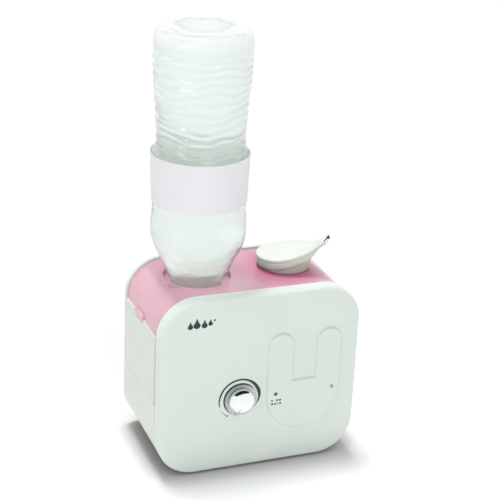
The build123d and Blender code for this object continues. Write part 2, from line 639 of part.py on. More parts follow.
SPRING_LOW = SEAL_Z + SEAL_THICK + HEAD_THICK + WIRE_R + 0.1
SPRING_TOP = CAGE_TOP - BRIDGE_THICK - WIRE_R - 0.1
spring_pitch = (SPRING_TOP - SPRING_LOW) / COIL_TURNS
spring_line = Pos(BOTTLE_X, AXIS_Y, SPRING_LOW) * Helix(spring_pitch, SPRING_TOP - SPRING_LOW, COIL_R)

with BuildPart() as valve_spring:
    with BuildLine():
        add(spring_line)
    with BuildSketch(Plane(origin=spring_line @ 0, z_dir=spring_line % 0)):
        Circle(WIRE_R)
    sweep(is_frenet=True)
keep(valve_spring.part, "valve_spring")

# ---------------------------------------------------------------- knob and its control
KNOB_FRONT = FRONT - KNOB_PROUD
KNOB_BACK = FRONT + DISH_DEEP - 0.35
HUB_R = 4.4
KNOB_ROUND = 4.0       # rounding of its front edge
SHAFT_BACK = BODY_FRONT + WALL + 5.0

with BuildPart() as knob:
    with BuildSketch(upright(KNOB_BACK)):
        with Locations((KNOB_X, KNOB_Z)):
            Circle(KNOB_R)
    extrude(amount=KNOB_BACK - KNOB_FRONT - 0.2)
    fillet(knob.faces().sort_by(Axis.Y)[0].edges(), KNOB_ROUND)
    with BuildSketch(upright(KNOB_BACK)):
        with Locations((KNOB_X, KNOB_Z)):
            Circle(KNOB_R - 1.2)
            Circle(HUB_R, mode=Mode.SUBTRACT)
    extrude(amount=KNOB_BACK - KNOB_FRONT - 1.8, mode=Mode.SUBTRACT)
    with BuildSketch(upright(KNOB_BACK)):
        with Locations((KNOB_X, KNOB_Z)):
            Circle(SHAFT_R)
    extrude(amount=KNOB_BACK - KNOB_FRONT - 1.8, mode=Mode.SUBTRACT)
keep(knob.part, "knob")

with BuildPart() as knob_face:
    with BuildSketch(upright(KNOB_FRONT + 0.2)):
        with Locations((KNOB_X, KNOB_Z)):
            Circle(KNOB_R - KNOB_ROUND - 0.2)
    extrude(amount=0.2)
keep(knob_face.part, "knob_face")

with BuildPart() as knob_shaft:
    with BuildSketch(upright(SHAFT_BACK)):
        with Locations((KNOB_X, KNOB_Z)):
            Circle(SHAFT_R)
    extrude(amount=SHAFT_BACK - KNOB_FRONT - 1.8)
keep(knob_shaft.part, "knob_shaft")

POT_R = 8.0
POT_DEEP = 8.0
NUT_THICK = 2.0

with BuildPart() as potentiometer:
    with BuildSketch(upright(BODY_FRONT + WALL + POT_DEEP)):
        with Locations((KNOB_X, KNOB_Z)):
            Circle(POT_R)
        with Locations((KNOB_X, KNOB_Z - POT_R)):
            Rectangle(10.0, 6.0)
    extrude(amount=POT_DEEP)
    with BuildSketch(upright(BODY_FRONT + WALL)):
        with Locations((KNOB_X, KNOB_Z)):
            Circle(BUSHING_R)
    extrude(amount=WALL + NUT_THICK + 1.0)
    with BuildSketch(upright(SHAFT_BACK + 0.3)):
        with Locations((KNOB_X, KNOB_Z)):
            Circle(SHAFT_R + RUNNING)
    extrude(amount=BIG, mode=Mode.SUBTRACT)
keep(potentiometer.part, "potentiometer")

with BuildPart() as control_nut:
    with BuildSketch(upright(BODY_FRONT)):
        with Locations((KNOB_X, KNOB_Z)):
            RegularPolygon(5.6, 6)
            Circle(BUSHING_R, mode=Mode.SUBTRACT)
    extrude(amount=NUT_THICK)
keep(control_nut.part, "control_nut")

# ---------------------------------------------------------------- indicator lights
LENS_FRONT = FRONT - U_PROUD + 0.1
LENS_BACK = BODY_FRONT + WALL + 0.8
LED_BOARD_Y = LENS_BACK + 2.4
LED_BOARD_THICK = 1.2

for lens_name, lens_x in zip(("power_light_lens", "level_light_lens"), LED_XS):
    with BuildPart() as lens:
        with BuildSketch(upright(LENS_BACK)):
            with Locations((lens_x, LED_Z)):
                Circle(LED_R - 0.05)
        extrude(amount=LENS_BACK - LENS_FRONT)
        fillet(lens.faces().sort_by(Axis.Y)[0].edges(), 0.4)
    keep(lens.part, lens_name)

with BuildPart() as light_board:
    with BuildSketch(upright(LED_BOARD_Y + LED_BOARD_THICK)):
        with Locations((sum(LED_XS) / 2, LED_Z)):
            Rectangle(LED_XS[1] - LED_XS[0] + 12.0, 9.0)
    extrude(amount=LED_BOARD_THICK)
keep(light_board.part, "light_board")

with BuildPart() as indicator_leds:
    with BuildSketch(upright(LED_BOARD_Y)):
        with Locations(*[(x, LED_Z) for x in LED_XS]):
            Circle(1.5)
    extrude(amount=LED_BOARD_Y - LENS_BACK - 0.1)
    fillet(indicator_leds.edges().filter_by(GeomType.CIRCLE).group_by(Axis.Y)[0], 0.7)
keep(indicator_leds.part, "indicator_leds")

# ---------------------------------------------------------------- power inlet
JACK_DEEP = 14.0
JACK_BORE_R = 3.0

with BuildPart() as power_inlet:
    with BuildSketch(upright(REAR - 0.4)):
        with Locations((JACK_X, JACK_Z)):
            RectangleRounded(JACK_WIDTH, JACK_HIGH, 1.3)
    extrude(amount=JACK_DEEP)
    with BuildSketch(upright(REAR - 0.4)):
        with Locations((JACK_X, JACK_Z)):
            Circle(JACK_BORE_R)
    extrude(amount=JACK_DEEP - 3.0, mode=Mode.SUBTRACT)
keep(power_inlet.part, "power_inlet")

with BuildPart() as inlet_pin:
    with BuildSketch(upright(REAR - 0.4 - JACK_DEEP + 3.0)):
        with Locations((JACK_X, JACK_Z)):
            Circle(1.0)
    extrude(amount=-(JACK_DEEP - 4.5))
keep(inlet_pin.part, "inlet_pin")

# ---------------------------------------------------------------- driver board
BOARD_THICK = 1.6
SINK_X = BOARD_X - 8.0
SINK_FINS = 6

with BuildPart() as driver_board:
    with BuildSketch(Plane.XY.offset(BOARD_Z)):
        with Locations((BOARD_X, BOARD_Y)):
            RectangleRounded(BOARD_SIZE, BOARD_SIZE, 2.0)
        with Locations(*BOARD_HOLES):
            Circle(1.4, mode=Mode.SUBTRACT)
    extrude(amount=BOARD_THICK)
keep(driver_board.part, "driver_board")

with BuildPart() as heat_sink:
    with BuildSketch(Plane.XY.offset(BOARD_Z + BOARD_THICK)):
        with Locations((SINK_X, BOARD_Y + 8.0)):
            Rectangle(20.0, 16.0)
    extrude(amount=2.0)
    with BuildSketch(Plane.XY.offset(BOARD_Z + BOARD_THICK + 2.0)):
        with Locations((SINK_X, BOARD_Y + 8.0)):
            with GridLocations(3.6, 0, SINK_FINS, 1):
                Rectangle(1.2, 16.0)
    extrude(amount=10.0)
keep(heat_sink.part, "heat_sink")

with BuildPart() as board_parts:
    with BuildSketch(Plane.XY.offset(BOARD_Z + BOARD_THICK)):
        with Locations((BOARD_X + 14.0, BOARD_Y - 8.0), (BOARD_X + 14.0, BOARD_Y + 4.0)):
            Circle(4.0)
        with Locations((BOARD_X - 10.0, BOARD_Y - 12.0)):
            RectangleRounded(11.0, 11.0, 1.0)
        with Locations((BOARD_X + 2.0, BOARD_Y - 14.0)):
            Rectangle(5.0, 8.0)
    extrude(amount=9.0)
keep(board_parts.part, "board_parts")

# ---------------------------------------------------------------- fan
FAN_Z = FLOOR_TOP + FILTER_THICK
FAN_DEEP = 10.0
FAN_BORE = 18.6
FAN_HUB = 9.0
STRUT_DEEP = 1.8
BLADES = 7
BLADE_TIP = 18.0
BLADE_TILT = 35.0
AXLE_R = 1.0

with BuildPart() as fan_frame:
    with BuildSketch(Plane.XY.offset(FAN_Z)):
        with Locations((FAN_X, FAN_Y)):
            RectangleRounded(FAN_SIZE, FAN_SIZE, 3.0)
            Circle(FAN_BORE, mode=Mode.SUBTRACT)
        with Locations(*FAN_HOLES):
            Circle(1.6, mode=Mode.SUBTRACT)
    extrude(amount=FAN_DEEP)
    with BuildSketch(Plane.XY.offset(FAN_Z + FAN_DEEP)):
        with Locations((FAN_X, FAN_Y)):
            Circle(FAN_HUB + 0.6)
            with PolarLocations(FAN_BORE / 2, 3, start_angle=30):
                Rectangle(FAN_BORE + 1.0, 2.4)
            Circle(AXLE_R + RUNNING, mode=Mode.SUBTRACT)
    extrude(amount=-STRUT_DEEP)
keep(fan_frame.part, "fan_frame")

blade = Rot(BLADE_TILT, 0, 0) * Box(BLADE_TIP - FAN_HUB + 1.0, 8.0, 0.9)

with BuildPart() as fan_rotor:
    with BuildSketch(Plane.XY.offset(FAN_Z + 0.6)):
        with Locations((FAN_X, FAN_Y)):
            Circle(FAN_HUB)
    extrude(amount=FAN_DEEP - STRUT_DEEP - 1.2)
    with BuildSketch(Plane.XY.offset(FAN_Z + 0.6)):
        with Locations((FAN_X, FAN_Y)):
            Circle(AXLE_R)
    extrude(amount=FAN_DEEP - 1.0)
    with Locations(Location((FAN_X, FAN_Y, FAN_Z + FAN_DEEP / 2 - 0.8))):
        with PolarLocations((BLADE_TIP + FAN_HUB) / 2 - 0.5, BLADES):
            add(blade)
keep(fan_rotor.part, "fan_rotor")

with BuildPart() as fan_screws:
    with BuildSketch(Plane.XY.offset(FLOOR_TOP + 0.4)):
        with Locations(*FAN_HOLES):
            Circle(SCREW_R)
    extrude(amount=FAN_Z + FAN_DEEP - FLOOR_TOP - 0.4)
    with BuildSketch(Plane.XY.offset(FAN_Z + FAN_DEEP)):
        with Locations(*FAN_HOLES):
            Circle(PILOT_HEAD_R)
    extrude(amount=PILOT_HEAD)
keep(fan_screws.part, "fan_screws")

with BuildPart() as dust_filter:
    with BuildSketch(Plane.XY.offset(FLOOR_TOP)):
        with Locations((FAN_X, FAN_Y)):
            Rectangle(INTAKE_SLOT + 0.6, FAN_SIZE - 4.0)
    extrude(amount=FILTER_THICK)
keep(dust_filter.part, "dust_filter")

# ---------------------------------------------------------------- mist maker
UNDER = BASIN_FLOOR - BASIN_THICK
GASKET_R = 12.0
GASKET_DEEP = 2.6
DISC_R = 10.0
DISC_THICK = 0.8
DISC_Z = UNDER - 1.8

with BuildPart() as disc_gasket:
    extrude(ring(UNDER - GASKET_DEEP, NOZZLE_X, AXIS_Y, GASKET_R, DISC_R - 1.8), amount=GASKET_DEEP)
    extrude(ring(DISC_Z, NOZZLE_X, AXIS_Y, DISC_R, 0), amount=DISC_THICK, mode=Mode.SUBTRACT)
keep(disc_gasket.part, "disc_gasket")

with BuildPart() as mist_disc:
    extrude(ring(DISC_Z, NOZZLE_X, AXIS_Y, DISC_R, 0), amount=DISC_THICK)
keep(mist_disc.part, "mist_disc")

with BuildPart() as disc_clamp:
    extrude(ring(UNDER - GASKET_DEEP - 2.0, NOZZLE_X, AXIS_Y, 18.0, DISC_R - 2.0), amount=GASKET_DEEP + 2.0)
    extrude(ring(UNDER - GASKET_DEEP, NOZZLE_X, AXIS_Y, GASKET_R, 0), amount=GASKET_DEEP, mode=Mode.SUBTRACT)
    with BuildSketch(Plane.XY.offset(UNDER)):
        with Locations(*CLAMP_SCREWS):
            Circle(SCREW_R + 0.2)
    extrude(amount=-(GASKET_DEEP + 2.0), mode=Mode.SUBTRACT)
keep(disc_clamp.part, "disc_clamp")

with BuildPart() as clamp_screws:
    with BuildSketch(Plane.XY.offset(UNDER - GASKET_DEEP - 2.0)):
        with Locations(*CLAMP_SCREWS):
            Circle(SCREW_R)
    extrude(amount=GASKET_DEEP + 2.0 + BASIN_THICK + 1.2)
    with BuildSketch(Plane.XY.offset(UNDER - GASKET_DEEP - 2.0)):
        with Locations(*CLAMP_SCREWS):
            Circle(PILOT_HEAD_R)
    extrude(amount=-PILOT_HEAD)
keep(clamp_screws.part, "clamp_screws")

# ---------------------------------------------------------------- level float
FLOAT_R = 9.0
FLOAT_HIGH = 9.0
FLOAT_BORE = POST_R + 0.35
FLOAT_Z = BASIN_FLOOR + 0.4
MAGNET_R = 6.2

with BuildPart() as level_float:
    extrude(ring(FLOAT_Z, FLOAT_X, FLOAT_Y, FLOAT_R, FLOAT_BORE), amount=FLOAT_HIGH)
    fillet(level_float.edges().filter_by(GeomType.CIRCLE).sort_by(SortBy.RADIUS)[-2:], 1.6)
    extrude(ring(FLOAT_Z, FLOAT_X, FLOAT_Y, MAGNET_R, FLOAT_BORE), amount=3.0, mode=Mode.SUBTRACT)
keep(level_float.part, "level_float")

with BuildPart() as float_magnet:
    extrude(ring(FLOAT_Z, FLOAT_X, FLOAT_Y, MAGNET_R, FLOAT_BORE), amount=3.0)
keep(float_magnet.part, "float_magnet")

with BuildPart() as float_clip:
    extrude(ring(POST_TOP, FLOAT_X, FLOAT_Y, POST_R + 2.0, 0), amount=1.6)
keep(float_clip.part, "float_clip")

with BuildPart() as level_switch:
    with BuildSketch(Plane.XY.offset(UNDER)):
        with Locations((FLOAT_X, FLOAT_Y)):
            SlotOverall(16.0, 5.0)
    extrude(amount=-3.0)
keep(level_switch.part, "level_switch")

# ---------------------------------------------------------------- fasteners and feet
FOOT_R = 5.0
FEET = [(x, AXIS_Y - 4.0 + j * 24.0) for x in (-38.0, 38.0) for j in (-1, 1)]

with BuildPart() as rubber_feet:
    with BuildSketch(Plane.XY):
        with Locations(*FEET):
            Circle(FOOT_R)
    extrude(amount=FLOOR + BODY_INSET)
    fillet(rubber_feet.edges().group_by(Axis.Z)[0], 0.5)
keep(rubber_feet.part, "rubber_feet")

with BuildPart() as rear_screws:
    with BuildSketch(upright(REAR - 0.2)):
        with Locations(*REAR_SCREWS):
            Circle(SCREW_HEAD_R)
    extrude(amount=HEAD_DEEP - 0.2)
    with BuildSketch(upright(REAR - 0.2)):
        with Locations(*REAR_SCREWS):
            Circle(SCREW_R)
    extrude(amount=REAR_DEPTH + WALL + 4.0)
    with BuildSketch(upright(REAR - 0.2)):
        with Locations(*REAR_SCREWS):
            Rectangle(3.2, 0.8)
            Rectangle(0.8, 3.2)
    extrude(amount=1.0, mode=Mode.SUBTRACT)
keep(rear_screws.part, "rear_screws")

with BuildPart() as panel_screws:
    with BuildSketch(upright(BODY_FRONT + WALL)):
        with Locations(*PANEL_SCREWS):
            Circle(SCREW_R)
    extrude(amount=WALL + 4.0)
    with BuildSketch(upright(BODY_FRONT + WALL)):
        with Locations(*PANEL_SCREWS):
            Circle(PILOT_HEAD_R)
    extrude(amount=-PILOT_HEAD)
keep(panel_screws.part, "panel_screws")
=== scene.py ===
# %% [markdown]
# # A bottle-fed cool mist humidifier
#
# This lesson dresses a finished design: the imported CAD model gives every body, size and joint,
# and Blender gives the looks. Pieces whose CAD mesh has the right shape keep it and only get a
# finish. Pieces that need finer forms (the bottle, the nozzle, the pink cover, the knob and the
# printing) are modelled here with bmesh operators in the same frame.

# %% Load the frame
import math

import bmesh
import bpy
from mathutils import Matrix, Vector


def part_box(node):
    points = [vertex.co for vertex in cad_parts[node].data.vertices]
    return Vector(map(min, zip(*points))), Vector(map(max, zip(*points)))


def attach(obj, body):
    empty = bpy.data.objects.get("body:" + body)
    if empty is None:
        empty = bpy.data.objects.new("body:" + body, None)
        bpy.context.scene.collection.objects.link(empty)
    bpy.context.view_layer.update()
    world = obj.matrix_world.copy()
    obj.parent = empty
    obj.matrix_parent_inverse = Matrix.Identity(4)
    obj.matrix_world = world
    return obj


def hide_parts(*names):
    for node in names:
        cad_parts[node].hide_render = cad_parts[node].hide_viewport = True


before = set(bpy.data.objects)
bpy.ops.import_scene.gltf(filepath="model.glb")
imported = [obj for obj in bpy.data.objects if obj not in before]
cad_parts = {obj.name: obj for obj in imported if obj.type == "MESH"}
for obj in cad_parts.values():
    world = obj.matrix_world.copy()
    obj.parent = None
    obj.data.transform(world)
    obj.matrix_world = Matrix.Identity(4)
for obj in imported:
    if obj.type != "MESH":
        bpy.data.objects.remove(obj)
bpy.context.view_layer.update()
MM = 0.001

# %% [markdown]
# ## Where things are
#
# Every place comes from the boxes of the CAD nodes, so nothing here has to be fitted. The two
# axes that matter most are the bottle's and the nozzle's: both are upright, and both are the
# middle of a round node.


# %% Places taken from the frame
def middle(node):
    """The middle of a node's box."""
    low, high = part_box(node)
    return (low + high) / 2


bottle_axis = middle("valve_cap")
nozzle_axis = middle("mist_disc")
knob_axis = middle("knob_face")
panel_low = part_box("front_panel")[0]
cover_low, cover_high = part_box("top_cover")
label_low, label_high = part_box("bottle_label")
print("bottle axis", bottle_axis.xy, "nozzle axis", nozzle_axis.xy)

# %% [markdown]
# ## Camera, light and floor
#
# The object stands on a plain pale floor under soft studio light. A white world gives the even
# wash of a light tent, and one large lamp above and one at the side shape the forms. The camera
# looks down on the front left corner from about a metre, with a longish lens, so the upright
# edges hardly converge. The top of the tent is open, which only glossy surfaces show: chrome
# needs something dark to mirror, or it looks like white paint.

# %% Camera
CAMERA_PLACE = (-0.3159, -0.7961, 0.4979)
CAMERA_YAW = math.radians(21.86)
CAMERA_PITCH = math.radians(22.49)
CAMERA_ROLL = math.radians(-2.61)
LENS = 100.4


def camera_axes():
    """The camera's right, up and backward directions."""
    forward = Vector((
        math.sin(CAMERA_YAW) * math.cos(CAMERA_PITCH),
        math.cos(CAMERA_YAW) * math.cos(CAMERA_PITCH),
        -math.sin(CAMERA_PITCH),
    ))
    right = Vector((math.cos(CAMERA_YAW), -math.sin(CAMERA_YAW), 0))
    down = forward.cross(right)
    turned_right = right * math.cos(CAMERA_ROLL) + down * math.sin(CAMERA_ROLL)
    turned_down = down * math.cos(CAMERA_ROLL) - right * math.sin(CAMERA_ROLL)
    return turned_right, -turned_down, -forward


camera = bpy.data.objects.new("camera", bpy.data.cameras.new("camera"))
camera.data.lens = LENS
camera.data.sensor_width = 36
camera.data.clip_start = 0.01
bpy.context.scene.collection.objects.link(camera)
camera.matrix_world = Matrix.Translation(CAMERA_PLACE) @ Matrix(camera_axes()).transposed().to_4x4()
bpy.context.scene.camera = camera
bpy.context.scene.view_settings.view_transform = "Standard"
print("camera at", CAMERA_PLACE, "lens", LENS)


# %% [markdown]
# ## Light
#
# The set is a white tent. A pale world gives even light from all round, a wide sun from above
# draws the shadow on the floor, a weak one fills the front, and a small soft box at the side puts
# a streak on the bottle. Hard lamps would draw edges that soft plastic doesn't show.

# %% [markdown]
# ## The tent
#
# Light from all round that is strong enough for a white ground would wash out every shadow. So
# the world lights the set with one strength and shows the camera another. For mirrors alone its
# top fades to black between two heights, as a dark ceiling over a tent would show in chrome.

# %% Tent
TENT_LIGHT = 0.42
CEILING_FROM, CEILING_TO = 25, 31
CEILING_GLOW = 0.02


def light_tent(strength):
    """A white world: one strength lights the set, the camera sees white, and its top is dark."""
    world = bpy.data.worlds.new("light_tent")
    world.use_nodes = True
    nodes, links = world.node_tree.nodes, world.node_tree.links
    path = nodes.new("ShaderNodeLightPath")
    seen = nodes.new("ShaderNodeMath")
    seen.operation = "MAXIMUM"
    links.new(path.outputs["Is Camera Ray"], seen.inputs[0])
    links.new(path.outputs["Is Transmission Ray"], seen.inputs[1])
    level = nodes.new("ShaderNodeMapRange")
    level.inputs["To Min"].default_value = strength
    level.inputs["To Max"].default_value = 1.0
    links.new(seen.outputs[0], level.inputs["Value"])
    place = nodes.new("ShaderNodeTexCoord")
    parts = nodes.new("ShaderNodeSeparateXYZ")
    links.new(place.outputs["Generated"], parts.inputs["Vector"])
    height = nodes.new("ShaderNodeMapRange")
    height.inputs["From Min"].default_value = math.sin(math.radians(CEILING_FROM))
    height.inputs["From Max"].default_value = math.sin(math.radians(CEILING_TO))
    height.inputs["To Min"].default_value = 1.0
    height.inputs["To Max"].default_value = CEILING_GLOW
    links.new(parts.outputs["Z"], height.inputs["Value"])
    mixed = nodes.new("ShaderNodeMix")
    mixed.data_type = "FLOAT"
    links.new(path.outputs["Is Glossy Ray"], mixed.inputs[0])
    links.new(level.outputs["Result"], mixed.inputs[2])
    links.new(height.outputs["Result"], mixed.inputs[3])
    links.new(mixed.outputs[0], nodes["Background"].inputs["Strength"])
    nodes["Background"].inputs["Color"].default_value = (1.0, 1.0, 1.0, 1)
    return world


bpy.context.scene.world = light_tent(TENT_LIGHT)
print("tent of strength", TENT_LIGHT)


# %% [markdown]
# ## Suns
#
# A lamp above and behind a set throws its shadow forward. A sun lamp does the same from any
# distance; its angle is the softness of the shadow's edge. Mirrors don't see these two, because a
# round white spot would show in the chrome.

# %% Suns
def sun_lamp(name, towards, strength, spread):
    """A far soft lamp that shines along towards; spread is its size as an angle in degrees."""
    lamp = bpy.data.lights.new(name, "SUN")
    lamp.energy = strength
    lamp.angle = math.radians(spread)
    holder = bpy.data.objects.new(name, lamp)
    holder.rotation_euler = Vector(towards).to_track_quat("-Z", "Y").to_euler()
    holder.visible_glossy = False
    bpy.context.scene.collection.objects.link(holder)
    return holder


sun_lamp("top_light", (0.04, -0.20, -1.0), 2.1, 16)
sun_lamp("front_light", (-0.06, 1.0, -0.80), 0.66, 30)

# %% [markdown]
# ## Side soft box
#
# A square lamp at the left and in front, small enough to read as a window in the bottle's wall.

# %% Side soft box
def area_lamp(name, place, aim, size, watts, colour=(1, 1, 1)):
    """A square soft box at place, turned to aim."""
    lamp = bpy.data.lights.new(name, "AREA")
    lamp.size = size
    lamp.energy = watts
    lamp.color = colour
    holder = bpy.data.objects.new(name, lamp)
    holder.location = place
    holder.rotation_euler = (Vector(aim) - Vector(place)).to_track_quat("-Z", "Y").to_euler()
    bpy.context.scene.collection.objects.link(holder)
    return holder


area_lamp("side_softbox", (-0.9, -0.5, 0.6), (0, 0, 0.15), 0.35, 1.2)


# %% [markdown]
# ## What the finishes are made of
#
# Most parts are injection moulded. Their surfaces differ in colour, gloss and grain, so one
# function takes those three. Textures read object coordinates, which stay with a piece as it moves.

# %% Helpers for materials
def new_material(name):
    """A node material with its shader: returns the material, its nodes, its links and the shader."""
    material = bpy.data.materials.new(name)
    material.use_nodes = True
    tree = material.node_tree
    return material, tree.nodes, tree.links, tree.nodes["Principled BSDF"]


def noise(nodes, links, scale, detail=3.0):
    """A noise texture on the piece's own coordinates, in features per metre."""
    place = nodes.new("ShaderNodeTexCoord")
    texture = nodes.new("ShaderNodeTexNoise")
    texture.inputs["Scale"].default_value = scale
    texture.inputs["Detail"].default_value = detail
    links.new(place.outputs["Object"], texture.inputs["Vector"])
    return texture


def ramp(nodes, links, source, stops):
    """A colour ramp over a texture's factor: stops are (position, colour) pairs."""
    node = nodes.new("ShaderNodeValToRGB")
    while len(node.color_ramp.elements) < len(stops):
        node.color_ramp.elements.new(0.5)
    for element, (position, colour) in zip(node.color_ramp.elements, stops):
        element.position = position
        element.color = (*colour, 1)
    links.new(source, node.inputs["Fac"])
    return node


def bump(nodes, links, source, shader, strength, distance):
    """A bump from a texture's factor into the shader's normal."""
    node = nodes.new("ShaderNodeBump")
    node.inputs["Strength"].default_value = strength
    node.inputs["Distance"].default_value = distance
    links.new(source, node.inputs["Height"])
    links.new(node.outputs["Normal"], shader.inputs["Normal"])
    return node


def moulded_plastic(name, colour, rough, grain=2600.0, coat=0.0, depth=0.02 * MM):
    """Injection-moulded plastic: fine spark-eroded grain and a slight unevenness in its gloss."""
    material, nodes, links, shader = new_material(name)
    tint = noise(nodes, links, 22.0)
    darker = tuple(channel * 0.975 for channel in colour)
    shade = ramp(nodes, links, tint.outputs["Fac"], [(0.35, darker), (0.65, colour)])
    links.new(shade.outputs["Color"], shader.inputs["Base Color"])
    gloss = ramp(nodes, links, tint.outputs["Fac"], [(0.3, (rough,) * 3), (0.7, (rough * 1.15,) * 3)])
    links.new(gloss.outputs["Color"], shader.inputs["Roughness"])
    fine = noise(nodes, links, grain, 2.0)
    bump(nodes, links, fine.outputs["Fac"], shader, 0.25, depth)
    shader.inputs["Coat Weight"].default_value = coat
    shader.inputs["Coat Roughness"].default_value = 0.12
    return material


# %% [markdown]
# ## Floor
#
# A sheet of pale paper under the object. An occlusion node shades it close to what stands on it,
# which holds the object down where soft light alone would leave it floating.

# %% Floor
PAPER = (0.895, 0.89, 0.895)
PAPER_SHADE = (0.42, 0.39, 0.41)
SHADE_REACH = 0.024
floor_mesh = bmesh.new()
bmesh.ops.create_grid(floor_mesh, x_segments=2, y_segments=2, size=6.0)
floor_data = bpy.data.meshes.new("floor")
floor_mesh.to_mesh(floor_data)
floor_mesh.free()
floor = bpy.data.objects.new("floor", floor_data)
bpy.context.scene.collection.objects.link(floor)
floor.data.materials.append(moulded_plastic("floor_paper", PAPER, 0.6, grain=400.0))
paper = floor.data.materials[0].node_tree
near = paper.nodes.new("ShaderNodeAmbientOcclusion")
near.inputs["Distance"].default_value = SHADE_REACH
near_shade = ramp(paper.nodes, paper.links, near.outputs["AO"],
                  [(0.3, PAPER_SHADE), (0.85, PAPER)])
paper.links.new(near_shade.outputs["Color"], paper.nodes["Principled BSDF"].inputs["Base Color"])
print("floor of", len(floor.data.polygons), "faces")

# %% [markdown]
# ## Smoothing the carried-over CAD meshes
#
# A CAD node arrives as loose triangles, which shade flat. Its mesh stays as it is, and a small
# Geometry Nodes modifier merges the doubles, shades the faces smooth and keeps edges sharper
# than thirty degrees. That way a fillet reads as a fillet and a corner as a corner.


# %% Weld and smooth modifier
def smoothing_group(angle=30.0):
    """A node group that merges doubles and shades smooth up to an angle."""
    group = bpy.data.node_groups.new("weld_and_smooth", "GeometryNodeTree")
    group.interface.new_socket("Geometry", in_out="INPUT", socket_type="NodeSocketGeometry")
    group.interface.new_socket("Geometry", in_out="OUTPUT", socket_type="NodeSocketGeometry")
    nodes, links = group.nodes, group.links
    enter = nodes.new("NodeGroupInput")
    leave = nodes.new("NodeGroupOutput")
    merge = nodes.new("GeometryNodeMergeByDistance")
    merge.inputs["Distance"].default_value = 0.002 * MM
    faces = nodes.new("GeometryNodeSetShadeSmooth")
    edges = nodes.new("GeometryNodeSetShadeSmooth")
    edges.domain = "EDGE"
    edges.inputs["Shade Smooth"].default_value = False
    bend = nodes.new("GeometryNodeInputMeshEdgeAngle")
    sharp = nodes.new("FunctionNodeCompare")
    sharp.data_type = "FLOAT"
    sharp.operation = "GREATER_THAN"
    sharp.inputs[1].default_value = math.radians(angle)
    links.new(enter.outputs[0], merge.inputs["Geometry"])
    links.new(merge.outputs["Geometry"], faces.inputs["Geometry"])
    links.new(faces.outputs["Geometry"], edges.inputs["Geometry"])
    links.new(bend.outputs["Unsigned Angle"], sharp.inputs[0])
    links.new(sharp.outputs["Result"], edges.inputs["Selection"])
    links.new(edges.outputs["Geometry"], leave.inputs[0])
    return group


weld_and_smooth = smoothing_group()


def dress(names, material):
    """Gives carried-over CAD nodes a finish and smooth shading."""
    for name in names:
        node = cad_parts[name]
        node.data.materials.clear()
        node.data.materials.append(material)
        modifier = node.modifiers.new("weld_and_smooth", "NODES")
        modifier.node_group = weld_and_smooth
    print(material.name, "on", ", ".join(names))


# %% [markdown]
# ## The casing's white plastic
#
# The panels and housings are white ABS with a faint cool green cast. The real mouldings are
# satin, with a grain too fine to see except as a soft highlight, so the bump is only some
# hundredths of a millimetre deep. The rear panel, base and reservoir take a warmer, greyer copy
# of the same white: painted shade for the sides, which get less light than the front.

# %% White casing
casing_white = moulded_plastic("casing_white", (0.76, 0.845, 0.785), 0.3)
dress(["front_panel"], casing_white)
# A warmer, greyer copy of the casing white: painted shade for the sides.
casing_white_painted_shade = moulded_plastic("casing_white_painted_shade", (0.76, 0.83, 0.735), 0.34)
dress(["rear_panel", "base_housing", "reservoir"], casing_white_painted_shade)

# %% [markdown]
# ## Hidden and small parts
#
# Boards, seals, feet and valve parts show only when the cover or bottle is lifted. They have
# their real finishes all the same: matt black, plain white, silicone and rubber.

# %% Hidden and small parts
black_plastic = moulded_plastic("black_plastic", (0.02, 0.02, 0.022), 0.45)
dress(["potentiometer", "board_parts", "fan_frame", "fan_rotor", "power_inlet", "level_switch"],
      black_plastic)
inner_white = moulded_plastic("inner_white", (0.78, 0.80, 0.80), 0.4)
dress(["valve_cap", "valve_cage", "valve_plunger", "disc_clamp", "level_float", "float_clip"], inner_white)
silicone = moulded_plastic("silicone", (0.72, 0.74, 0.72), 0.6)
dress(["cap_washer", "plunger_seal", "disc_gasket"], silicone)
rubber = moulded_plastic("black_rubber", (0.03, 0.03, 0.032), 0.7, grain=1800.0, depth=0.05 * MM)
dress(["rubber_feet"], rubber)


# %% [markdown]
# ## Metals
#
# Screws and the shaft are zinc plated, the nut is brass, the heat sink is aluminium and the disc
# is silvered. Streaks in the roughness are enough for parts this small.

# %% Metals
def brushed_metal(name, colour, rough):
    """Metal with fine streaks in its roughness."""
    material, nodes, links, shader = new_material(name)
    shader.inputs["Base Color"].default_value = (*colour, 1)
    shader.inputs["Metallic"].default_value = 1.0
    streaks = noise(nodes, links, 900.0, 4.0)
    gloss = ramp(nodes, links, streaks.outputs["Fac"], [(0.3, (rough,) * 3), (0.7, (rough * 1.5,) * 3)])
    links.new(gloss.outputs["Color"], shader.inputs["Roughness"])
    bump(nodes, links, streaks.outputs["Fac"], shader, 0.1, 0.02 * MM)
    return material


steel = brushed_metal("zinc_steel", (0.60, 0.61, 0.63), 0.3)
dress(["rear_screws", "panel_screws", "fan_screws", "clamp_screws", "knob_shaft", "valve_spring",
       "inlet_pin", "float_magnet"], steel)
dress(["heat_sink"], brushed_metal("sink_aluminium", (0.72, 0.73, 0.75), 0.35))
dress(["control_nut"], brushed_metal("nut_brass", (0.70, 0.56, 0.30), 0.3))
dress(["mist_disc"], brushed_metal("disc_silver", (0.80, 0.79, 0.74), 0.25))
solder_mask = moulded_plastic("green_board", (0.02, 0.16, 0.07), 0.3)
dress(["driver_board", "light_board"], solder_mask)
dress(["dust_filter"], moulded_plastic("filter_foam", (0.03, 0.03, 0.035), 0.9, grain=700.0, depth=0.4 * MM))


# %% [markdown]
# ## Small helpers for modelled pieces
#
# A modelled piece starts as a bmesh, is shaped by operators and then becomes an object at the
# origin. Normals are recalculated once at the end, after doubles are merged.


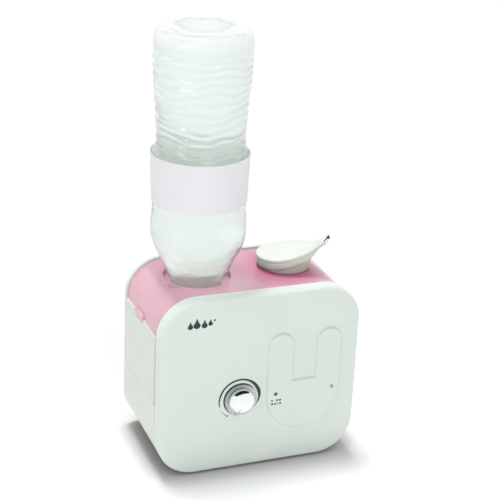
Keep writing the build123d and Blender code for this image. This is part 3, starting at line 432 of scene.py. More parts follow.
# %% From bmesh to a riding piece
def finish_piece(bm, name, body, material, replaced=(), smooth_angle=40.0):
    """Turns a bmesh into an object that rides on a body and takes a slot's finish."""
    bmesh.ops.remove_doubles(bm, verts=bm.verts, dist=0.002 * MM)
    bmesh.ops.recalc_face_normals(bm, faces=bm.faces)
    for face in bm.faces:
        face.smooth = True
    for edge in bm.edges:
        if len(edge.link_faces) == 2 and edge.calc_face_angle() > math.radians(smooth_angle):
            edge.smooth = False
    data = bpy.data.meshes.new(name)
    bm.to_mesh(data)
    bm.free()
    piece = bpy.data.objects.new(name, data)
    bpy.context.scene.collection.objects.link(piece)
    data.materials.append(material)
    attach(piece, body)
    if replaced:
        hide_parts(*replaced)
    print(name, "rides on", body, "with", len(data.vertices), "vertices")
    return piece


def turned(bm, profile, axis_point, steps=96, axis=(0, 0, 1)):
    """Spins a line of (radius, height) points round an upright axis, in metres."""
    centre = Vector((axis_point[0], axis_point[1], 0))
    verts = [bm.verts.new(centre + Vector((radius, 0, height))) for radius, height in profile]
    edges = [bm.edges.new(pair) for pair in zip(verts, verts[1:])]
    bmesh.ops.spin(bm, geom=verts + edges, cent=centre, axis=axis, dvec=(0, 0, 0),
                   angle=math.tau, steps=steps, use_merge=True, use_duplicate=False)
    return bm


# %% [markdown]
# ## The bottle
#
# A half litre bottle is blown from thin clear PET: a shoulder, a straight band for the label, and
# a long grip with wavy ribs that stiffen it. It could be a CAD revolve, but the ribs wander, so
# the section is spun here and the ribs are then moved in code along a slow wave. The wall is
# a Solidify modifier, and the water is a second closed body just inside it.

# %% Bottle section
FLOOR_Z = 1.0
BOTTLE_WALL = 0.5


def eased(t):
    """A smooth step from 0 to 1."""
    t = min(max(t, 0.0), 1.0)
    return t * t * (3 - 2 * t)


NECK = [(13.2, 91.0), (13.2, 94.0), (13.8, 94.6), (13.8, 95.6), (13.2, 96.2), (13.2, 98.6),
        (13.8, 99.2), (13.8, 100.2), (13.2, 100.8), (13.2, 110.6), (16.2, 111.2), (16.3, 112.8),
        (13.4, 113.4)]
BODY = [(13.4, 115.5), (15.2, 118.6), (19.2, 124.6), (22.3, 131.4), (24.6, 136.9), (27.2, 141.8),
        (29.3, 146.4), (30.9, 150.8), (31.7, 155.0), (31.8, 161.0), (31.5, 167.0), (31.0, 171.5),
        (30.5, 173.4), (30.9, 175.6), (31.35, 178.6), (32.15, 211.2), (31.9, 212.0),
        (31.2, 212.7), (30.6, 213.4), (30.2, 214.1), (29.9, 214.8), (29.7, 215.4), (29.5, 216.0)]
GRIP = [(29.5, 216.0), (29.1, 226.0), (29.6, 236.0), (30.6, 247.0), (31.4, 257.0),
        (31.8, 266.0), (31.9, 284.0)]
HEEL = [(31.6, 287.2), (30.4, 290.0), (28.0, 292.0), (24.0, 292.9), (20.0, 291.2), (14.0, 288.0),
        (6.0, 286.6), (0.0, 286.4)]
RIBS_FROM, RIBS_TO = 211.0, 284.0
RIB_PITCH = 5.4
RIB_DEEP = 0.8
LINE_PITCH = 2.6
LINE_DEEP = 0.45


def between(points, height):
    """The radius on a broken line of (radius, height) points, eased from point to point."""
    for (r0, z0), (r1, z1) in zip(points, points[1:]):
        if z0 <= height <= z1:
            return r0 + (r1 - r0) * (height - z0) / (z1 - z0)
    return points[-1][0]


grip_heights = [216.0 + 0.6 * step for step in range(1, 114)]
section = NECK + BODY + [(between(GRIP, height), height) for height in grip_heights] + HEEL
print("bottle section of", len(section), "points")


# %% [markdown]
# ## The bottle's skin
#
# A blown bottle has soft ribs that wander up and down round it. The skin is spun smooth first,
# then each vertex is pushed in by a formula of its angle and height. A bump map would leave the
# outline straight, and on clear plastic the outline is what shows.

# %% Blown skin with wavy ribs
def rib(angle, height):
    """How far a rib pushes the skin in at that place: the ribs rise and fall round the bottle."""
    reach = eased((height - RIBS_FROM) / 2.5) * eased((RIBS_TO - height) / 6.0)
    wave = 1.7 * math.sin(2 * angle + height / 13.0) + 1.1 * math.sin(5 * angle - height / 7.0)
    wave += 0.6 * math.sin(9 * angle + height / 3.7)
    strength = 0.75 + 0.25 * math.sin(3 * angle + height / 5.0)
    lines = eased((height - 212.0) / 1.5) * eased((228.0 - height) / 8.0) * LINE_DEEP
    lines *= 0.5 - 0.5 * math.cos(math.tau * height / LINE_PITCH + 0.9 * math.sin(3 * angle))
    ring = 0.5 - 0.5 * math.cos(math.tau * (height + wave) / RIB_PITCH)
    return lines + reach * RIB_DEEP * strength * ring


def flute(angle, height):
    """Soft facets on the shoulder."""
    reach = eased((height - 124.0) / 14.0) * eased((160.0 - height) / 10.0)
    wave = 0.5 * math.sin(height / 6.0) + 0.3 * math.sin(height / 2.6 + 3 * angle)
    return reach * 0.3 * (0.5 + 0.5 * math.cos(8 * angle + wave))


def bottle_skin(inset, points):
    """The spun and ribbed skin, drawn in by inset millimetres."""
    bm = bmesh.new()
    profile = [(max(radius - inset, 0.0) * MM, (height + FLOOR_Z) * MM) for radius, height in points]
    turned(bm, profile, bottle_axis, steps=120)
    for vert in bm.verts:
        offset = Vector((vert.co.x - bottle_axis.x, vert.co.y - bottle_axis.y))
        if offset.length < 1 * MM:
            continue
        angle = math.atan2(offset.y, offset.x)
        height = vert.co.z / MM - FLOOR_Z
        push = (rib(angle, height) + flute(angle, height)) * MM
        offset *= (offset.length - push) / offset.length
        vert.co.x = bottle_axis.x + offset.x
        vert.co.y = bottle_axis.y + offset.y
    return bm


# %% [markdown]
# ## Clear plastic
#
# Glass shaders throw dark shadows, because their light is hard to find from inside. Shadow and
# scattered rays pass straight through instead, so the water and the cap inside are lit.

# %% Clear plastic and water
def let_through(nodes, links, shader, colour):
    """Lets lamps and scattered light pass straight through a clear body, so that what is inside is lit."""
    path = nodes.new("ShaderNodeLightPath")
    passing = nodes.new("ShaderNodeMath")
    passing.operation = "MAXIMUM"
    links.new(path.outputs["Is Shadow Ray"], passing.inputs[0])
    links.new(path.outputs["Is Diffuse Ray"], passing.inputs[1])
    clear = nodes.new("ShaderNodeBsdfTransparent")
    clear.inputs["Color"].default_value = (*colour, 1)
    mix = nodes.new("ShaderNodeMixShader")
    links.new(passing.outputs[0], mix.inputs["Fac"])
    links.new(shader.outputs["BSDF"], mix.inputs[1])
    links.new(clear.outputs["BSDF"], mix.inputs[2])
    links.new(mix.outputs["Shader"], nodes["Material Output"].inputs["Surface"])


def clear_body(name, colour, ior, milk):
    """A clear body with a faint tint, which lets lamps and scattered light pass straight through."""
    material, nodes, links, shader = new_material(name)
    shader.inputs["Base Color"].default_value = (*colour, 1)
    shader.inputs["IOR"].default_value = ior
    place = nodes.new("ShaderNodeTexCoord")
    parts = nodes.new("ShaderNodeSeparateXYZ")
    links.new(place.outputs["Object"], parts.inputs["Vector"])
    # Towards the top the body grows less clear and whiter: painted light, for a top that reads paler.
    clearness_with_painted_glow = nodes.new("ShaderNodeMapRange")
    clearness_with_painted_glow.inputs["From Min"].default_value = 0.205
    clearness_with_painted_glow.inputs["From Max"].default_value = 0.285
    clearness_with_painted_glow.inputs["To Min"].default_value = 1.0 - milk
    clearness_with_painted_glow.inputs["To Max"].default_value = 1.0 - 3.5 * milk
    links.new(parts.outputs["Z"], clearness_with_painted_glow.inputs["Value"])
    links.new(clearness_with_painted_glow.outputs["Result"], shader.inputs["Transmission Weight"])
    uneven = noise(nodes, links, 75.0)
    stretch = nodes.new("ShaderNodeMapping")
    stretch.inputs["Scale"].default_value = (1.0, 1.0, 3.0)
    links.new(place.outputs["Object"], stretch.inputs["Vector"])
    links.new(stretch.outputs["Vector"], uneven.inputs["Vector"])
    gloss = ramp(nodes, links, uneven.outputs["Fac"], [(0.3, (0.0,) * 3), (0.7, (0.04,) * 3)])
    links.new(gloss.outputs["Color"], shader.inputs["Roughness"])
    bump(nodes, links, uneven.outputs["Fac"], shader, 0.5, 1.2 * MM)
    let_through(nodes, links, shader, colour)
    return material


pet_clear = clear_body("clear_pet", (0.965, 0.99, 0.975), 1.45, 0.08)
water_clear = clear_body("clear_water", (0.95, 0.98, 0.96), 1.33, 0.16)

skin = bottle_skin(0.0, section)
bottle_piece = finish_piece(skin, "bottle_wall", "bottle", pet_clear, ["bottle"], 60.0)
wall = bottle_piece.modifiers.new("wall", "SOLIDIFY")
wall.thickness = BOTTLE_WALL * MM
wall.offset = -1.0

# %% [markdown]
# ## Water
#
# The water is a closed body just inside the wall, cut from the same section as the bottle.

# %% Water inside
WATER_LEVEL = 286.0
WATER_GAP = BOTTLE_WALL + 0.08
WATER_FROM = 106.0
water_section = [(0.0, WATER_FROM)]
water_section += [(radius, height) for radius, height in section if WATER_FROM <= height <= WATER_LEVEL]
water_section += [(0.0, WATER_LEVEL)]
water = bottle_skin(WATER_GAP, water_section)
finish_piece(water, "bottle_water", "bottle", water_clear, (), 50.0)

# %% [markdown]
# ## The label
#
# A plain film sleeve, glued round the straight band. It is a spun strip with a wall, printed in
# one pale lavender grey, with a fine dark line where its lower edge stands off the bottle.

# %% Label sleeve
LABEL_WALL = 0.15 * MM
LABEL_FLARE = 0.8 * MM
label_top_r = (label_high.x - label_low.x) / 2
label_low_r = label_top_r - LABEL_FLARE
label_profile = [
    (label_low_r - LABEL_WALL, label_low.z), (label_low_r, label_low.z), (label_top_r, label_high.z),
    (label_top_r - LABEL_WALL, label_high.z), (label_low_r - LABEL_WALL, label_low.z),
]
label_mesh = turned(bmesh.new(), label_profile, bottle_axis, steps=120)
label_film = moulded_plastic("label_film", (0.87, 0.875, 0.90), 0.5, grain=1500.0)
finish_piece(label_mesh, "label_sleeve", "bottle", label_film, ["bottle_label"])

# %% [markdown]
# ## The pink cover
#
# The cover is a tinted translucent moulding. Its CAD mesh has the right shape, so it keeps it.
# The finish lets light through and scatters it a little. Its colour also carries painted light
# and shade: paler pink is painted where the white reservoir wall lies just behind it and along
# the front edge, so the open basin reads deeper, and a deeper pink is painted round the nozzle as
# its shade.

# %% Translucent pink
PINK = (0.87, 0.54, 0.67)
# The deep pink is painted shade and the pale pink painted light; PINK is the cover's own tint.
PINK_PAINTED_SHADE = (0.84, 0.27, 0.48)
PINK_PAINTED_LIGHT = (0.87, 0.59, 0.67)


def stretch_mask(nodes, links, source, start, end):
    """A 0 to 1 mask between two values of a source."""
    node = nodes.new("ShaderNodeMapRange")
    node.inputs["From Min"].default_value = start
    node.inputs["From Max"].default_value = end
    links.new(source, node.inputs["Value"])
    return node.outputs["Result"]


def blend(nodes, links, mask, first, second):
    """A colour that goes from first to second with the mask."""
    node = nodes.new("ShaderNodeMix")
    node.data_type = "RGBA"
    links.new(mask, node.inputs[0])
    if isinstance(first, tuple):
        node.inputs[6].default_value = (*first, 1)
    else:
        links.new(first, node.inputs[6])
    node.inputs[7].default_value = (*second, 1)
    return node.outputs[2]


pink, pink_nodes, pink_links, pink_shader = new_material("pink_translucent")
pink_tint = noise(pink_nodes, pink_links, 30.0)
pink_place = pink_nodes.new("ShaderNodeTexCoord")
pink_parts = pink_nodes.new("ShaderNodeSeparateXYZ")
pink_links.new(pink_place.outputs["Object"], pink_parts.inputs["Vector"])
seat = pink_nodes.new("ShaderNodeVectorMath")
seat.operation = "DISTANCE"
seat.inputs[1].default_value = (nozzle_axis.x, nozzle_axis.y, cover_high.z)
pink_links.new(pink_place.outputs["Object"], seat.inputs[0])
# Deeper pink painted round the nozzle: painted shade.
nozzle_shade_mask = stretch_mask(pink_nodes, pink_links, seat.outputs["Value"], 0.040, 0.015)
# Paler pink painted where the white reservoir wall lies behind the cover: painted light.
painted_wall_light_mask = stretch_mask(pink_nodes, pink_links, pink_parts.outputs["X"], -0.0535, -0.0575)
# A paler strip painted along the front edge: painted light.
painted_front_light_mask = stretch_mask(pink_nodes, pink_links, pink_parts.outputs["Y"],
                          cover_low.y + 0.006, cover_low.y + 0.002)
pink_with_painted_light = blend(pink_nodes, pink_links, nozzle_shade_mask, PINK, PINK_PAINTED_SHADE)
pink_with_painted_light = blend(pink_nodes, pink_links, painted_wall_light_mask, pink_with_painted_light, PINK_PAINTED_LIGHT)
pink_with_painted_light = blend(pink_nodes, pink_links, painted_front_light_mask, pink_with_painted_light, PINK_PAINTED_LIGHT)
pink_links.new(pink_with_painted_light, pink_shader.inputs["Base Color"])
pink_gloss = ramp(pink_nodes, pink_links, pink_tint.outputs["Fac"], [(0.3, (0.20,) * 3), (0.7, (0.24,) * 3)])
pink_links.new(pink_gloss.outputs["Color"], pink_shader.inputs["Roughness"])
pink_shader.inputs["Coat Weight"].default_value = 0.35
pink_shader.inputs["Coat Roughness"].default_value = 0.08
pink_shader.inputs["Transmission Weight"].default_value = 0.5
pink_shader.inputs["IOR"].default_value = 1.3
let_through(pink_nodes, pink_links, pink_shader, tuple(math.sqrt(channel) for channel in PINK))
dress(["top_cover"], pink)

# %% [markdown]
# ## The mist nozzle
#
# The head is a shallow bowl on a round collar, drawn out into a spout, with a dished plate on
# top. Both are made as stacks of loops that are bridged: every loop has the same number of
# points, so the plate's edge can flow into the collar's circle. A loft would do the same with
# less control over the seam. The mouth is cut afterwards, through both pieces at once.

# %% Nozzle outline
SPOUT_TURN = math.radians(-38.0)
HEAD_R = 20.2
TIP_TOP_U = 26.8
TIP_LEAN = 0.78
TIP_HALF = 8.0
TIP_ROUND = 0.8
COLLAR_R = 17.4
COLLAR_Z = 125.9
PLATE_LINE = [(-20.2, 134.3), (-10.0, 134.9), (0.0, 136.3), (8.0, 138.1), (14.0, 140.3), (18.0, 142.3),
              (22.0, 145.3), (26.8, 150.4)]


def smooth_line(points, at):
    """The height of a smooth line through (place, height) points at one place."""
    at = min(max(at, points[0][0]), points[-1][0])
    for index in range(len(points) - 1):
        (u0, z0), (u1, z1) = points[index], points[index + 1]
        if at <= u1:
            break
    before = points[max(index - 1, 0)]
    after = points[min(index + 2, len(points) - 1)]
    slope0 = (z1 - before[1]) / (u1 - before[0])
    slope1 = (after[1] - z0) / (after[0] - u0)
    t = (at - u0) / (u1 - u0)
    h = u1 - u0
    a, b = t * t * (3 - 2 * t), t * (1 - t) ** 2
    return z0 * (1 - a) + z1 * a + slope0 * h * b - slope1 * h * t * t * (1 - t)


def head_outline(inset, tip_drop=0.0):
    """The head's outline from above: a round back, straight flanks and a leaning tip, in (u, v)."""
    radius, half = HEAD_R - inset, TIP_HALF - inset
    tip = TIP_TOP_U + TIP_LEAN * tip_drop - inset
    reach = math.hypot(tip - TIP_ROUND, half - TIP_ROUND)
    lean = math.atan2(half - TIP_ROUND, tip - TIP_ROUND) + math.acos((radius - TIP_ROUND) / reach)
    centre_u, centre_v = tip - TIP_ROUND, half - TIP_ROUND
    turns = [lean + (math.pi - lean) * k / 24 for k in range(25)]
    back = [(radius * math.cos(turn), radius * math.sin(turn)) for turn in turns]
    bends = [lean * k / 8 for k in range(9)]
    corner = [(centre_u + TIP_ROUND * math.cos(bend), centre_v + TIP_ROUND * math.sin(bend))
              for bend in bends]
    (corner_u, corner_v), (back_u, back_v) = corner[-1], back[0]
    flank = [(corner_u + (back_u - corner_u) * k / 11, corner_v + (back_v - corner_v) * k / 11)
             for k in range(1, 11)]
    front = [(tip, centre_v * k / 5) for k in range(5)]
    half_line = front + corner + flank + back
    return half_line + [(u, -v) for u, v in reversed(half_line[1:-1])]


def placed(u, v, z):
    """A point of the nozzle, from spout coordinates in millimetres to the shared frame."""
    turn = Matrix.Rotation(SPOUT_TURN, 3, "Z")
    return turn @ Vector((u * MM, v * MM, 0)) + Vector((nozzle_axis.x, nozzle_axis.y, z * MM))


print("head outline of", len(head_outline(0)), "points")


# %% [markdown]
# ## Building from loops
#
# The nozzle isn't round, so it can't be spun. It is a stack of outlines, each bridged to the
# next, with strips across the first and last. Outlines set in more than the tip's half width
# would cross themselves, so none goes that far.

# %% Loops and bridges
def add_loop(bm, points):
    """A closed loop of edges through points: returns its edges and its vertices."""
    verts = [bm.verts.new(point) for point in points]
    return [bm.edges.new((verts[k], verts[(k + 1) % len(verts)])) for k in range(len(verts))], verts


def cap_across(bm, verts):
    """Closes a loop with strips from flank to flank, so that a curved plate stays smooth."""
    count = len(verts)
    middle_index = count // 2
    bm.faces.new((verts[0], verts[1], verts[-1]))
    for k in range(1, middle_index - 1):
        bm.faces.new((verts[k], verts[k + 1], verts[count - k - 1], verts[count - k]))
    bm.faces.new((verts[middle_index - 1], verts[middle_index], verts[middle_index + 1]))


def stack(loops):
    """Bridges a stack of equal loops and closes both ends."""
    bm = bmesh.new()
    rings = [add_loop(bm, points) for points in loops]
    for (lower, _), (upper, _) in zip(rings, rings[1:]):
        bmesh.ops.bridge_loops(bm, edges=lower + upper)
    for _, verts in (rings[0], rings[-1]):
        cap_across(bm, verts)
    return bm


def plate_loop(inset, drop):
    """A loop of the plate: drawn in by inset, and below the top line by drop."""
    return [placed(u, v, smooth_line(PLATE_LINE, u) - drop) for u, v in head_outline(inset, drop)]


# %% [markdown]
# ## Nozzle plate
#
# The upper plate is a shallow dish with a soft rim, which sweeps up to the mouth.

# %% Nozzle plate
PLATE_EDGE = 2.3
PLATE_STEPS = [(4.0, PLATE_EDGE), (1.0, PLATE_EDGE), (0.35, PLATE_EDGE - 0.1), (0.0, PLATE_EDGE - 0.6),
               (0.0, 0.6), (0.25, 0.15), (0.8, 0.0), (1.3, 0.12), (2.2, 0.55), (4.0, 0.9), (6.0, 1.1)]
nozzle_white = moulded_plastic("nozzle_white", (0.80, 0.835, 0.785), 0.33)
plate_mesh = stack([plate_loop(inset, fall) for inset, fall in PLATE_STEPS])
print("nozzle plate of", len(plate_mesh.faces), "faces")

# %% [markdown]
# ## Nozzle bowl
#
# The lower shell hangs below the plate, deep under the round head and shallow at the tip, and
# closes in to the collar that turns in the cover.

# %% Nozzle bowl and collar
BOWL_DEEP = 7.5
TIP_DEEP = 3.6


def bowl_depth(u):
    """How far the head's underside lies below its top line: a deep bowl, shallow at the mouth."""
    return TIP_DEEP + (BOWL_DEEP - TIP_DEEP) * (1 - eased((u - 17.0) / 11.5))


def bowl_loop(inset, share):
    """A loop of the bowl's wall: share 0 is right under the plate, 1 is the underside."""
    tip_drop = PLATE_EDGE + share * (TIP_DEEP - PLATE_EDGE)
    points = []
    for u, v in head_outline(inset, tip_drop):
        drop = PLATE_EDGE + share * (bowl_depth(u) - PLATE_EDGE)
        points.append(placed(u, v, smooth_line(PLATE_LINE, u) - drop))
    return points


def collar_loop(radius, z=None):
    """A loop of the round collar, at a height or where it meets the bowl."""
    points = []
    for u, v in head_outline(0):
        angle = math.atan2(v, u)
        cu, cv = radius * math.cos(angle), radius * math.sin(angle)
        meeting = smooth_line(PLATE_LINE, cu) - bowl_depth(cu) + 0.3
        points.append(placed(cu, cv, max(meeting, COLLAR_Z + 0.6) if z is None else z))
    return points


BOWL_STEPS = [(2.0, 1.0), (1.1, 0.97), (0.6, 0.85), (0.35, 0.55), (0.3, 0.1), (0.6, 0.0), (1.6, 0.0)]
bowl_loops = [collar_loop(COLLAR_R - 0.4, COLLAR_Z), collar_loop(COLLAR_R, COLLAR_Z + 0.4),
              collar_loop(COLLAR_R)]
bowl_loops += [bowl_loop(inset, share) for inset, share in BOWL_STEPS]
bowl_mesh = stack(bowl_loops)
print("nozzle bowl of", len(bowl_mesh.faces), "faces")

# %% [markdown]
# ## The mouth
#
# The mist leaves by a slot in the tip. A rounded block is taken out of both shells at once, so
# that its sides line up. It slopes as the plate does there, so it stays inside the tip. Its cut
# faces are painted near black, as shade for the hollow head behind them.

# %% The mouth
SLOT_WIDE = 12.6
SLOT_HIGH = 2.2
SLOT_DEEP = 4.2
SLOT_PLACE = (28.2, 148.5)
SLOT_TILT = math.radians(-49.0)


def slot_cutter():
    """A rounded block the size of the mouth, lying along the spout."""
    bm = bmesh.new()
    bmesh.ops.create_cube(bm, size=1.0)
    bmesh.ops.scale(bm, vec=(2 * SLOT_DEEP * MM, SLOT_WIDE * MM, SLOT_HIGH * MM), verts=bm.verts)
    long_edges = [e for e in bm.edges if abs((e.verts[0].co - e.verts[1].co).x) > SLOT_DEEP * MM]
    bmesh.ops.bevel(bm, geom=long_edges, offset=0.6 * MM, segments=3, profile=0.5,
                    affect="EDGES", material=-1)
    bmesh.ops.rotate(bm, verts=bm.verts, matrix=Matrix.Rotation(SLOT_TILT, 3, "Y"))
    bmesh.ops.rotate(bm, verts=bm.verts, matrix=Matrix.Rotation(SPOUT_TURN, 3, "Z"))
    bmesh.ops.translate(bm, verts=bm.verts, vec=placed(SLOT_PLACE[0], 0, SLOT_PLACE[1]))
    data = bpy.data.meshes.new("slot_cutter")
    bm.to_mesh(data)
    bm.free()
    return bpy.data.objects.new("slot_cutter", data)


def cut(bm, cutter):
    """The bmesh with the cutter's shape taken out of it."""
    bmesh.ops.recalc_face_normals(bm, faces=bm.faces)
    data = bpy.data.meshes.new("blank")
    bm.to_mesh(data)
    bm.free()
    blank = bpy.data.objects.new("blank", data)
    bpy.context.scene.collection.objects.link(blank)
    bpy.context.scene.collection.objects.link(cutter)
    taken = blank.modifiers.new("mouth", "BOOLEAN")
    taken.operation = "DIFFERENCE"
    taken.object = cutter
    taken.solver = "EXACT"
    result = bmesh.new()
    result.from_object(blank, bpy.context.evaluated_depsgraph_get())
    bpy.context.scene.collection.objects.unlink(cutter)
    bpy.data.objects.remove(blank)
    return result


cutter = slot_cutter()
# The bowl takes a greyer, warmer copy of the nozzle's white: painted shade for its sides under the plate.
nozzle_white_painted_shade = moulded_plastic("nozzle_white_painted_shade", (0.80, 0.805, 0.715), 0.36)
# Near black for the slot's cut faces: painted shade for the hollow behind the mouth.
mouth_painted_shade = moulded_plastic("mouth_painted_shade", (0.10, 0.10, 0.07), 0.6)
plate_piece = finish_piece(cut(plate_mesh, cutter), "nozzle_plate", "nozzle", nozzle_white,
                           ["nozzle_upper"], 35.0)
bowl_piece = finish_piece(cut(bowl_mesh, cutter), "nozzle_bowl", "nozzle", nozzle_white_painted_shade,
                          ["nozzle_lower"], 50.0)
to_slot = (Matrix.Translation(placed(SLOT_PLACE[0], 0, SLOT_PLACE[1])) @ Matrix.Rotation(SPOUT_TURN, 4, "Z")
           @ Matrix.Rotation(SLOT_TILT, 4, "Y")).inverted()
# Faces inside the slot take the painted shade.
for piece in (plate_piece, bowl_piece):
    piece.data.materials.append(mouth_painted_shade)
    for face in piece.data.polygons:
        at = to_slot @ face.center
        inside = abs(at.y) < (SLOT_WIDE / 2 + 0.02) * MM and abs(at.z) < (SLOT_HIGH / 2 + 0.02) * MM
        if inside and abs(at.x) < (SLOT_DEEP + 0.02) * MM:
            face.material_index = 1
bpy.data.objects.remove(cutter)

# %% [markdown]
# ## The knob
#
# A plated cap: a plain cylinder with a generously rounded front edge, where the dark top of the
# tent shows as a crescent, and a flat face with a pointer line. It is spun from its profile about
# the shaft's axis, like a turned part.

# %% Chrome knob
KNOB_R = 9.3
KNOB_ROUND = 4.0
FACE_RISE = 0.35
knob_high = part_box("knob")[1]
knob_face_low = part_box("knob_face")[0]
chrome = brushed_metal("polished_chrome", (0.86, 0.88, 0.875), 0.03)


def turned_forward(profile, centre, steps=96):
    """Spins (radius, y) points in metres round an axis that points to the front."""
    bm = bmesh.new()
    verts = [bm.verts.new(Vector((centre.x + radius, y, centre.z))) for radius, y in profile]
    edges = [bm.edges.new(pair) for pair in zip(verts, verts[1:])]
    bmesh.ops.spin(bm, geom=verts + edges, cent=(centre.x, 0, centre.z), axis=(0, 1, 0), dvec=(0, 0, 0),
                   angle=math.tau, steps=steps, use_merge=True, use_duplicate=False)
    return bm


def front_y(radius):
    """Where the knob's front is at a radius in millimetres: a low dome with a rounded edge."""
    flat = KNOB_R - KNOB_ROUND
    if radius <= flat:
        return knob_face_low.y + FACE_RISE * MM * (radius / flat) ** 2
    lean = math.sqrt(max(KNOB_ROUND ** 2 - (radius - flat) ** 2, 0.0))
    return knob_face_low.y + (FACE_RISE + KNOB_ROUND - lean) * MM


knob_line = [(0.0, knob_high.y), ((KNOB_R - 0.3) * MM, knob_high.y), (KNOB_R * MM, knob_high.y - 0.3 * MM)]
for step in range(11):
    radius = KNOB_R - KNOB_ROUND + KNOB_ROUND * math.cos(math.pi / 2 * step / 10)
    knob_line.append((radius * MM, front_y(radius)))
knob_line += [(radius * MM, front_y(radius)) for radius in (3.9, 2.4, 1.0)] + [(0.0, front_y(0.0))]
knob_mesh = turned_forward(knob_line, knob_axis)
finish_piece(knob_mesh, "knob_cap", "knob", chrome, ["knob", "knob_face"], 50.0)

# %% [markdown]
# ## Printing
#
# The scale, the pointer and the small marks are ink a few hundredths of a millimetre thick. A
# texture could carry them, but as thin solids they keep crisp edges at any size. The wording of
# a real one is left out: plain bars, dots and drops stand in for it.

# %% Ink
INK_THICK = 0.05 * MM
# The dark ink also draws the dish crescent, which is painted shade.
ink_and_painted_shade = moulded_plastic("print_ink_and_painted_shade", (0.012, 0.03, 0.028), 0.4)
grey_ink = moulded_plastic("pointer_ink", (0.16, 0.19, 0.17), 0.4)


def thin_layer(shapes, name, surface_y, body="casing", material=ink_and_painted_shade):
    """Thin raised layers from outlines of (x, z) points in metres, on a face at surface_y: print, and the
    dish crescent of painted shade.
    """
    bm = bmesh.new()
    for outline in shapes:
        face = bm.faces.new([bm.verts.new((x, surface_y, z)) for x, z in outline])
        lifted = bmesh.ops.extrude_face_region(bm, geom=[face])["geom"]
        raised = [item for item in lifted if isinstance(item, bmesh.types.BMVert)]
        bmesh.ops.translate(bm, verts=raised, vec=(0, -INK_THICK, 0))
    return finish_piece(bm, name, body, material, (), 30.0)


def polar(centre, radius, degrees):
    """A point at a radius in millimetres and an angle round a centre on the face."""
    angle = math.radians(degrees)
    return (centre.x + radius * MM * math.cos(angle), centre.z + radius * MM * math.sin(angle))


panel_face = panel_low.y + 1.5 * MM
print("face of the panel at", round(panel_face, 5))

# %% [markdown]
# ## Scale
#
# The printed scale swells towards high, then breaks into short segments. It is a real thin
# layer over the panel, made from outlines, so it needs no image.

# %% Scale round the knob
SCALE_R = 15.1
SCALE_START, SCALE_END = 196.0, -44.0
SEGMENT_FROM, SEGMENTS = 40.0, 5
SEGMENT_STEP = 9.0


def scale_edge(degrees):
    """The outer radius and the thickness of the scale at an angle: it swells towards high."""
    share = (SCALE_START - degrees) / (SCALE_START - SCALE_END)
    swell = 1.25 + 1.15 * eased((share - 0.45) / 0.3)
    taper = eased((1.0 - share) / 0.3)
    start = 0.55 + 0.45 * eased(share / 0.15)
    return SCALE_R - 3.0 * eased((share - 0.72) / 0.3), max(swell * taper * start, 0.08)


def scale_stretch(start, end, steps):
    """One stretch of the scale as an outline: out along its outer edge and back along the inner."""
    angles = [start + (end - start) * step / steps for step in range(steps + 1)]
    outer = [polar(knob_axis, scale_edge(angle)[0], angle) for angle in angles]
    inner = [polar(knob_axis, scale_edge(angle)[0] - scale_edge(angle)[1], angle)
             for angle in reversed(angles)]
    return outer + inner


strips = [scale_stretch(SCALE_START, SEGMENT_FROM, 36)]
for number in range(SEGMENTS):
    start = SEGMENT_FROM - SEGMENT_STEP * number
    strips.append(scale_stretch(start - 0.3, start - SEGMENT_STEP, 4))
strips.append(scale_stretch(SEGMENT_FROM - SEGMENT_STEP * SEGMENTS - 0.3, SCALE_END, 14))
thin_layer(strips, "knob_scale", panel_face)

# %% [markdown]
# ## Ring
#
# A crescent of painted shade lies round the dish, where its wall is in shadow: thick at its
# middle and fine at both ends.

# %% Ring round the dish
RING_R = 11.75
RING_START, RING_END = 229.0, 32.0
ring_outer, ring_inner = [], []
for step in range(49):
    degrees = RING_START + (RING_END - RING_START) * step / 48
    thick = 0.15 + 1.25 * math.sin(math.pi * step / 48) ** 0.7
    ring_outer.append(polar(knob_axis, RING_R, degrees))
    ring_inner.append(polar(knob_axis, RING_R - thick, degrees))
# The crescent is painted shade, laid down with the ink like a print.
thin_layer([ring_outer + ring_inner[::-1]], "dish_shade_crescent", panel_face)


# %% [markdown]
# ## Small marks
#
# Dots and bars stand where wording would be, and a row of drops is a plain badge.

# %% Small marks
def dot(x, z, radius, corners=16):
    """A round dot of a radius in millimetres at a place in metres."""
    turns = [math.tau * k / corners for k in range(corners)]
    return [(x + radius * MM * math.cos(turn), z + radius * MM * math.sin(turn)) for turn in turns]


def bar(x, z, width, height):
    """A plain bar of a size in millimetres with its middle at a place in metres."""
    w, h = width * MM / 2, height * MM / 2
    return [(x - w, z - h), (x + w, z - h), (x + w, z + h), (x - w, z + h)]


def drop(x, z, radius, corners=20):
    """A water drop: round below and drawn out to a point above."""
    points = []
    for k in range(corners):
        angle = math.tau * k / corners - math.pi / 2
        lift = 1.0 + 0.9 * max(math.sin(angle), 0) ** 6
        side = math.cos(angle) * (1 - 0.45 * max(math.sin(angle), 0))
        points.append((x + radius * MM * side, z + radius * MM * math.sin(angle) * lift))
    return points


off_dots = [dot(*polar(knob_axis, 15.2 - 0.3 * k, 209 + 8 * k), 0.3 + 0.12 * k) for k in range(4)]
thin_layer(off_dots, "off_marks", panel_face)

power_lens = middle("power_light_lens")
raised_face = panel_low.y
rows = []
for row, widths in enumerate([(1.0, 0.0, 1.3, 1.6), (1.5, 1.2, 0.7, 1.4)]):
    x = power_lens.x - 3.0 * MM
    for width in widths:
        if width:
            rows.append(bar(x + width * MM / 2, power_lens.z - (4.7 + 2.6 * row) * MM, width, 1.25))
        x += (max(width, 1.0) + 0.7) * MM
thin_layer(rows, "light_marks", raised_face)

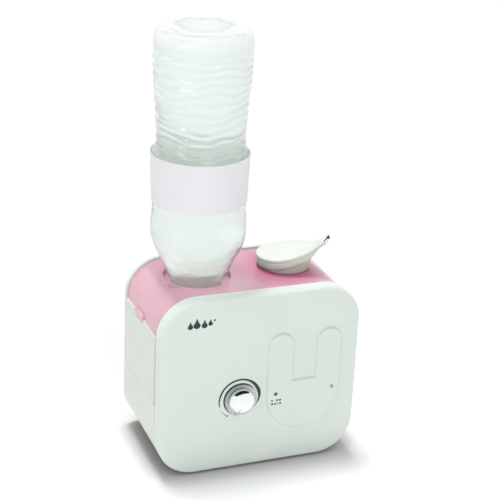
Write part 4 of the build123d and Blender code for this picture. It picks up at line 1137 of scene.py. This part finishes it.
BADGE_X, BADGE_Z = -43.0, 110.5
drops = [drop((BADGE_X + place) * MM, (BADGE_Z + rise) * MM, size)
         for place, rise, size in [(-7.0, -0.4, 1.9), (-2.6, 0.3, 2.5), (2.6, -0.2, 2.1), (6.6, 0.6, 1.6)]]
drops.append(dot((BADGE_X + 9.4) * MM, (BADGE_Z + 2.6) * MM, 0.7))
thin_layer(drops, "drop_badge", panel_face)

# %% [markdown]
# ## Pointer
#
# A fine line follows the cap's rounded front from the face to the side, so it is built as a
# short ribbon whose rows take their depth from the knob's own profile.

# %% Pointer line on the knob
POINTER_FROM, POINTER_TO, POINTER_HALF = 4.4, 7.9, 0.16
POINTER_ANGLE = 243.0
pointer_bm = bmesh.new()
rows_of_verts = []
for step in range(9):
    radius = POINTER_FROM + (POINTER_TO - POINTER_FROM) * step / 8
    row = []
    for side in (-1, 1):
        x, z = polar(knob_axis, radius, POINTER_ANGLE)
        x += side * POINTER_HALF * MM * math.sin(math.radians(POINTER_ANGLE))
        z -= side * POINTER_HALF * MM * math.cos(math.radians(POINTER_ANGLE))
        row.append(pointer_bm.verts.new((x, front_y(radius) - 0.02 * MM, z)))
    rows_of_verts.append(row)
for lower, upper in zip(rows_of_verts, rows_of_verts[1:]):
    pointer_bm.faces.new((lower[0], lower[1], upper[1], upper[0]))
lifted = bmesh.ops.extrude_face_region(pointer_bm, geom=list(pointer_bm.faces))["geom"]
raised = [item for item in lifted if isinstance(item, bmesh.types.BMVert)]
bmesh.ops.translate(pointer_bm, verts=raised, vec=(0, -INK_THICK, 0))
finish_piece(pointer_bm, "knob_pointer", "knob", grey_ink, (), 30.0)

# %% [markdown]
# ## Lenses
#
# Both lights are off. Their lenses are dark and light grey plastic with a clear gloss.

# %% Light lenses
dress(["power_light_lens"], moulded_plastic("dark_lens", (0.04, 0.055, 0.05), 0.2, coat=1.0))
dress(["level_light_lens", "indicator_leds"],
      moulded_plastic("grey_lens", (0.36, 0.42, 0.38), 0.25, coat=1.0))
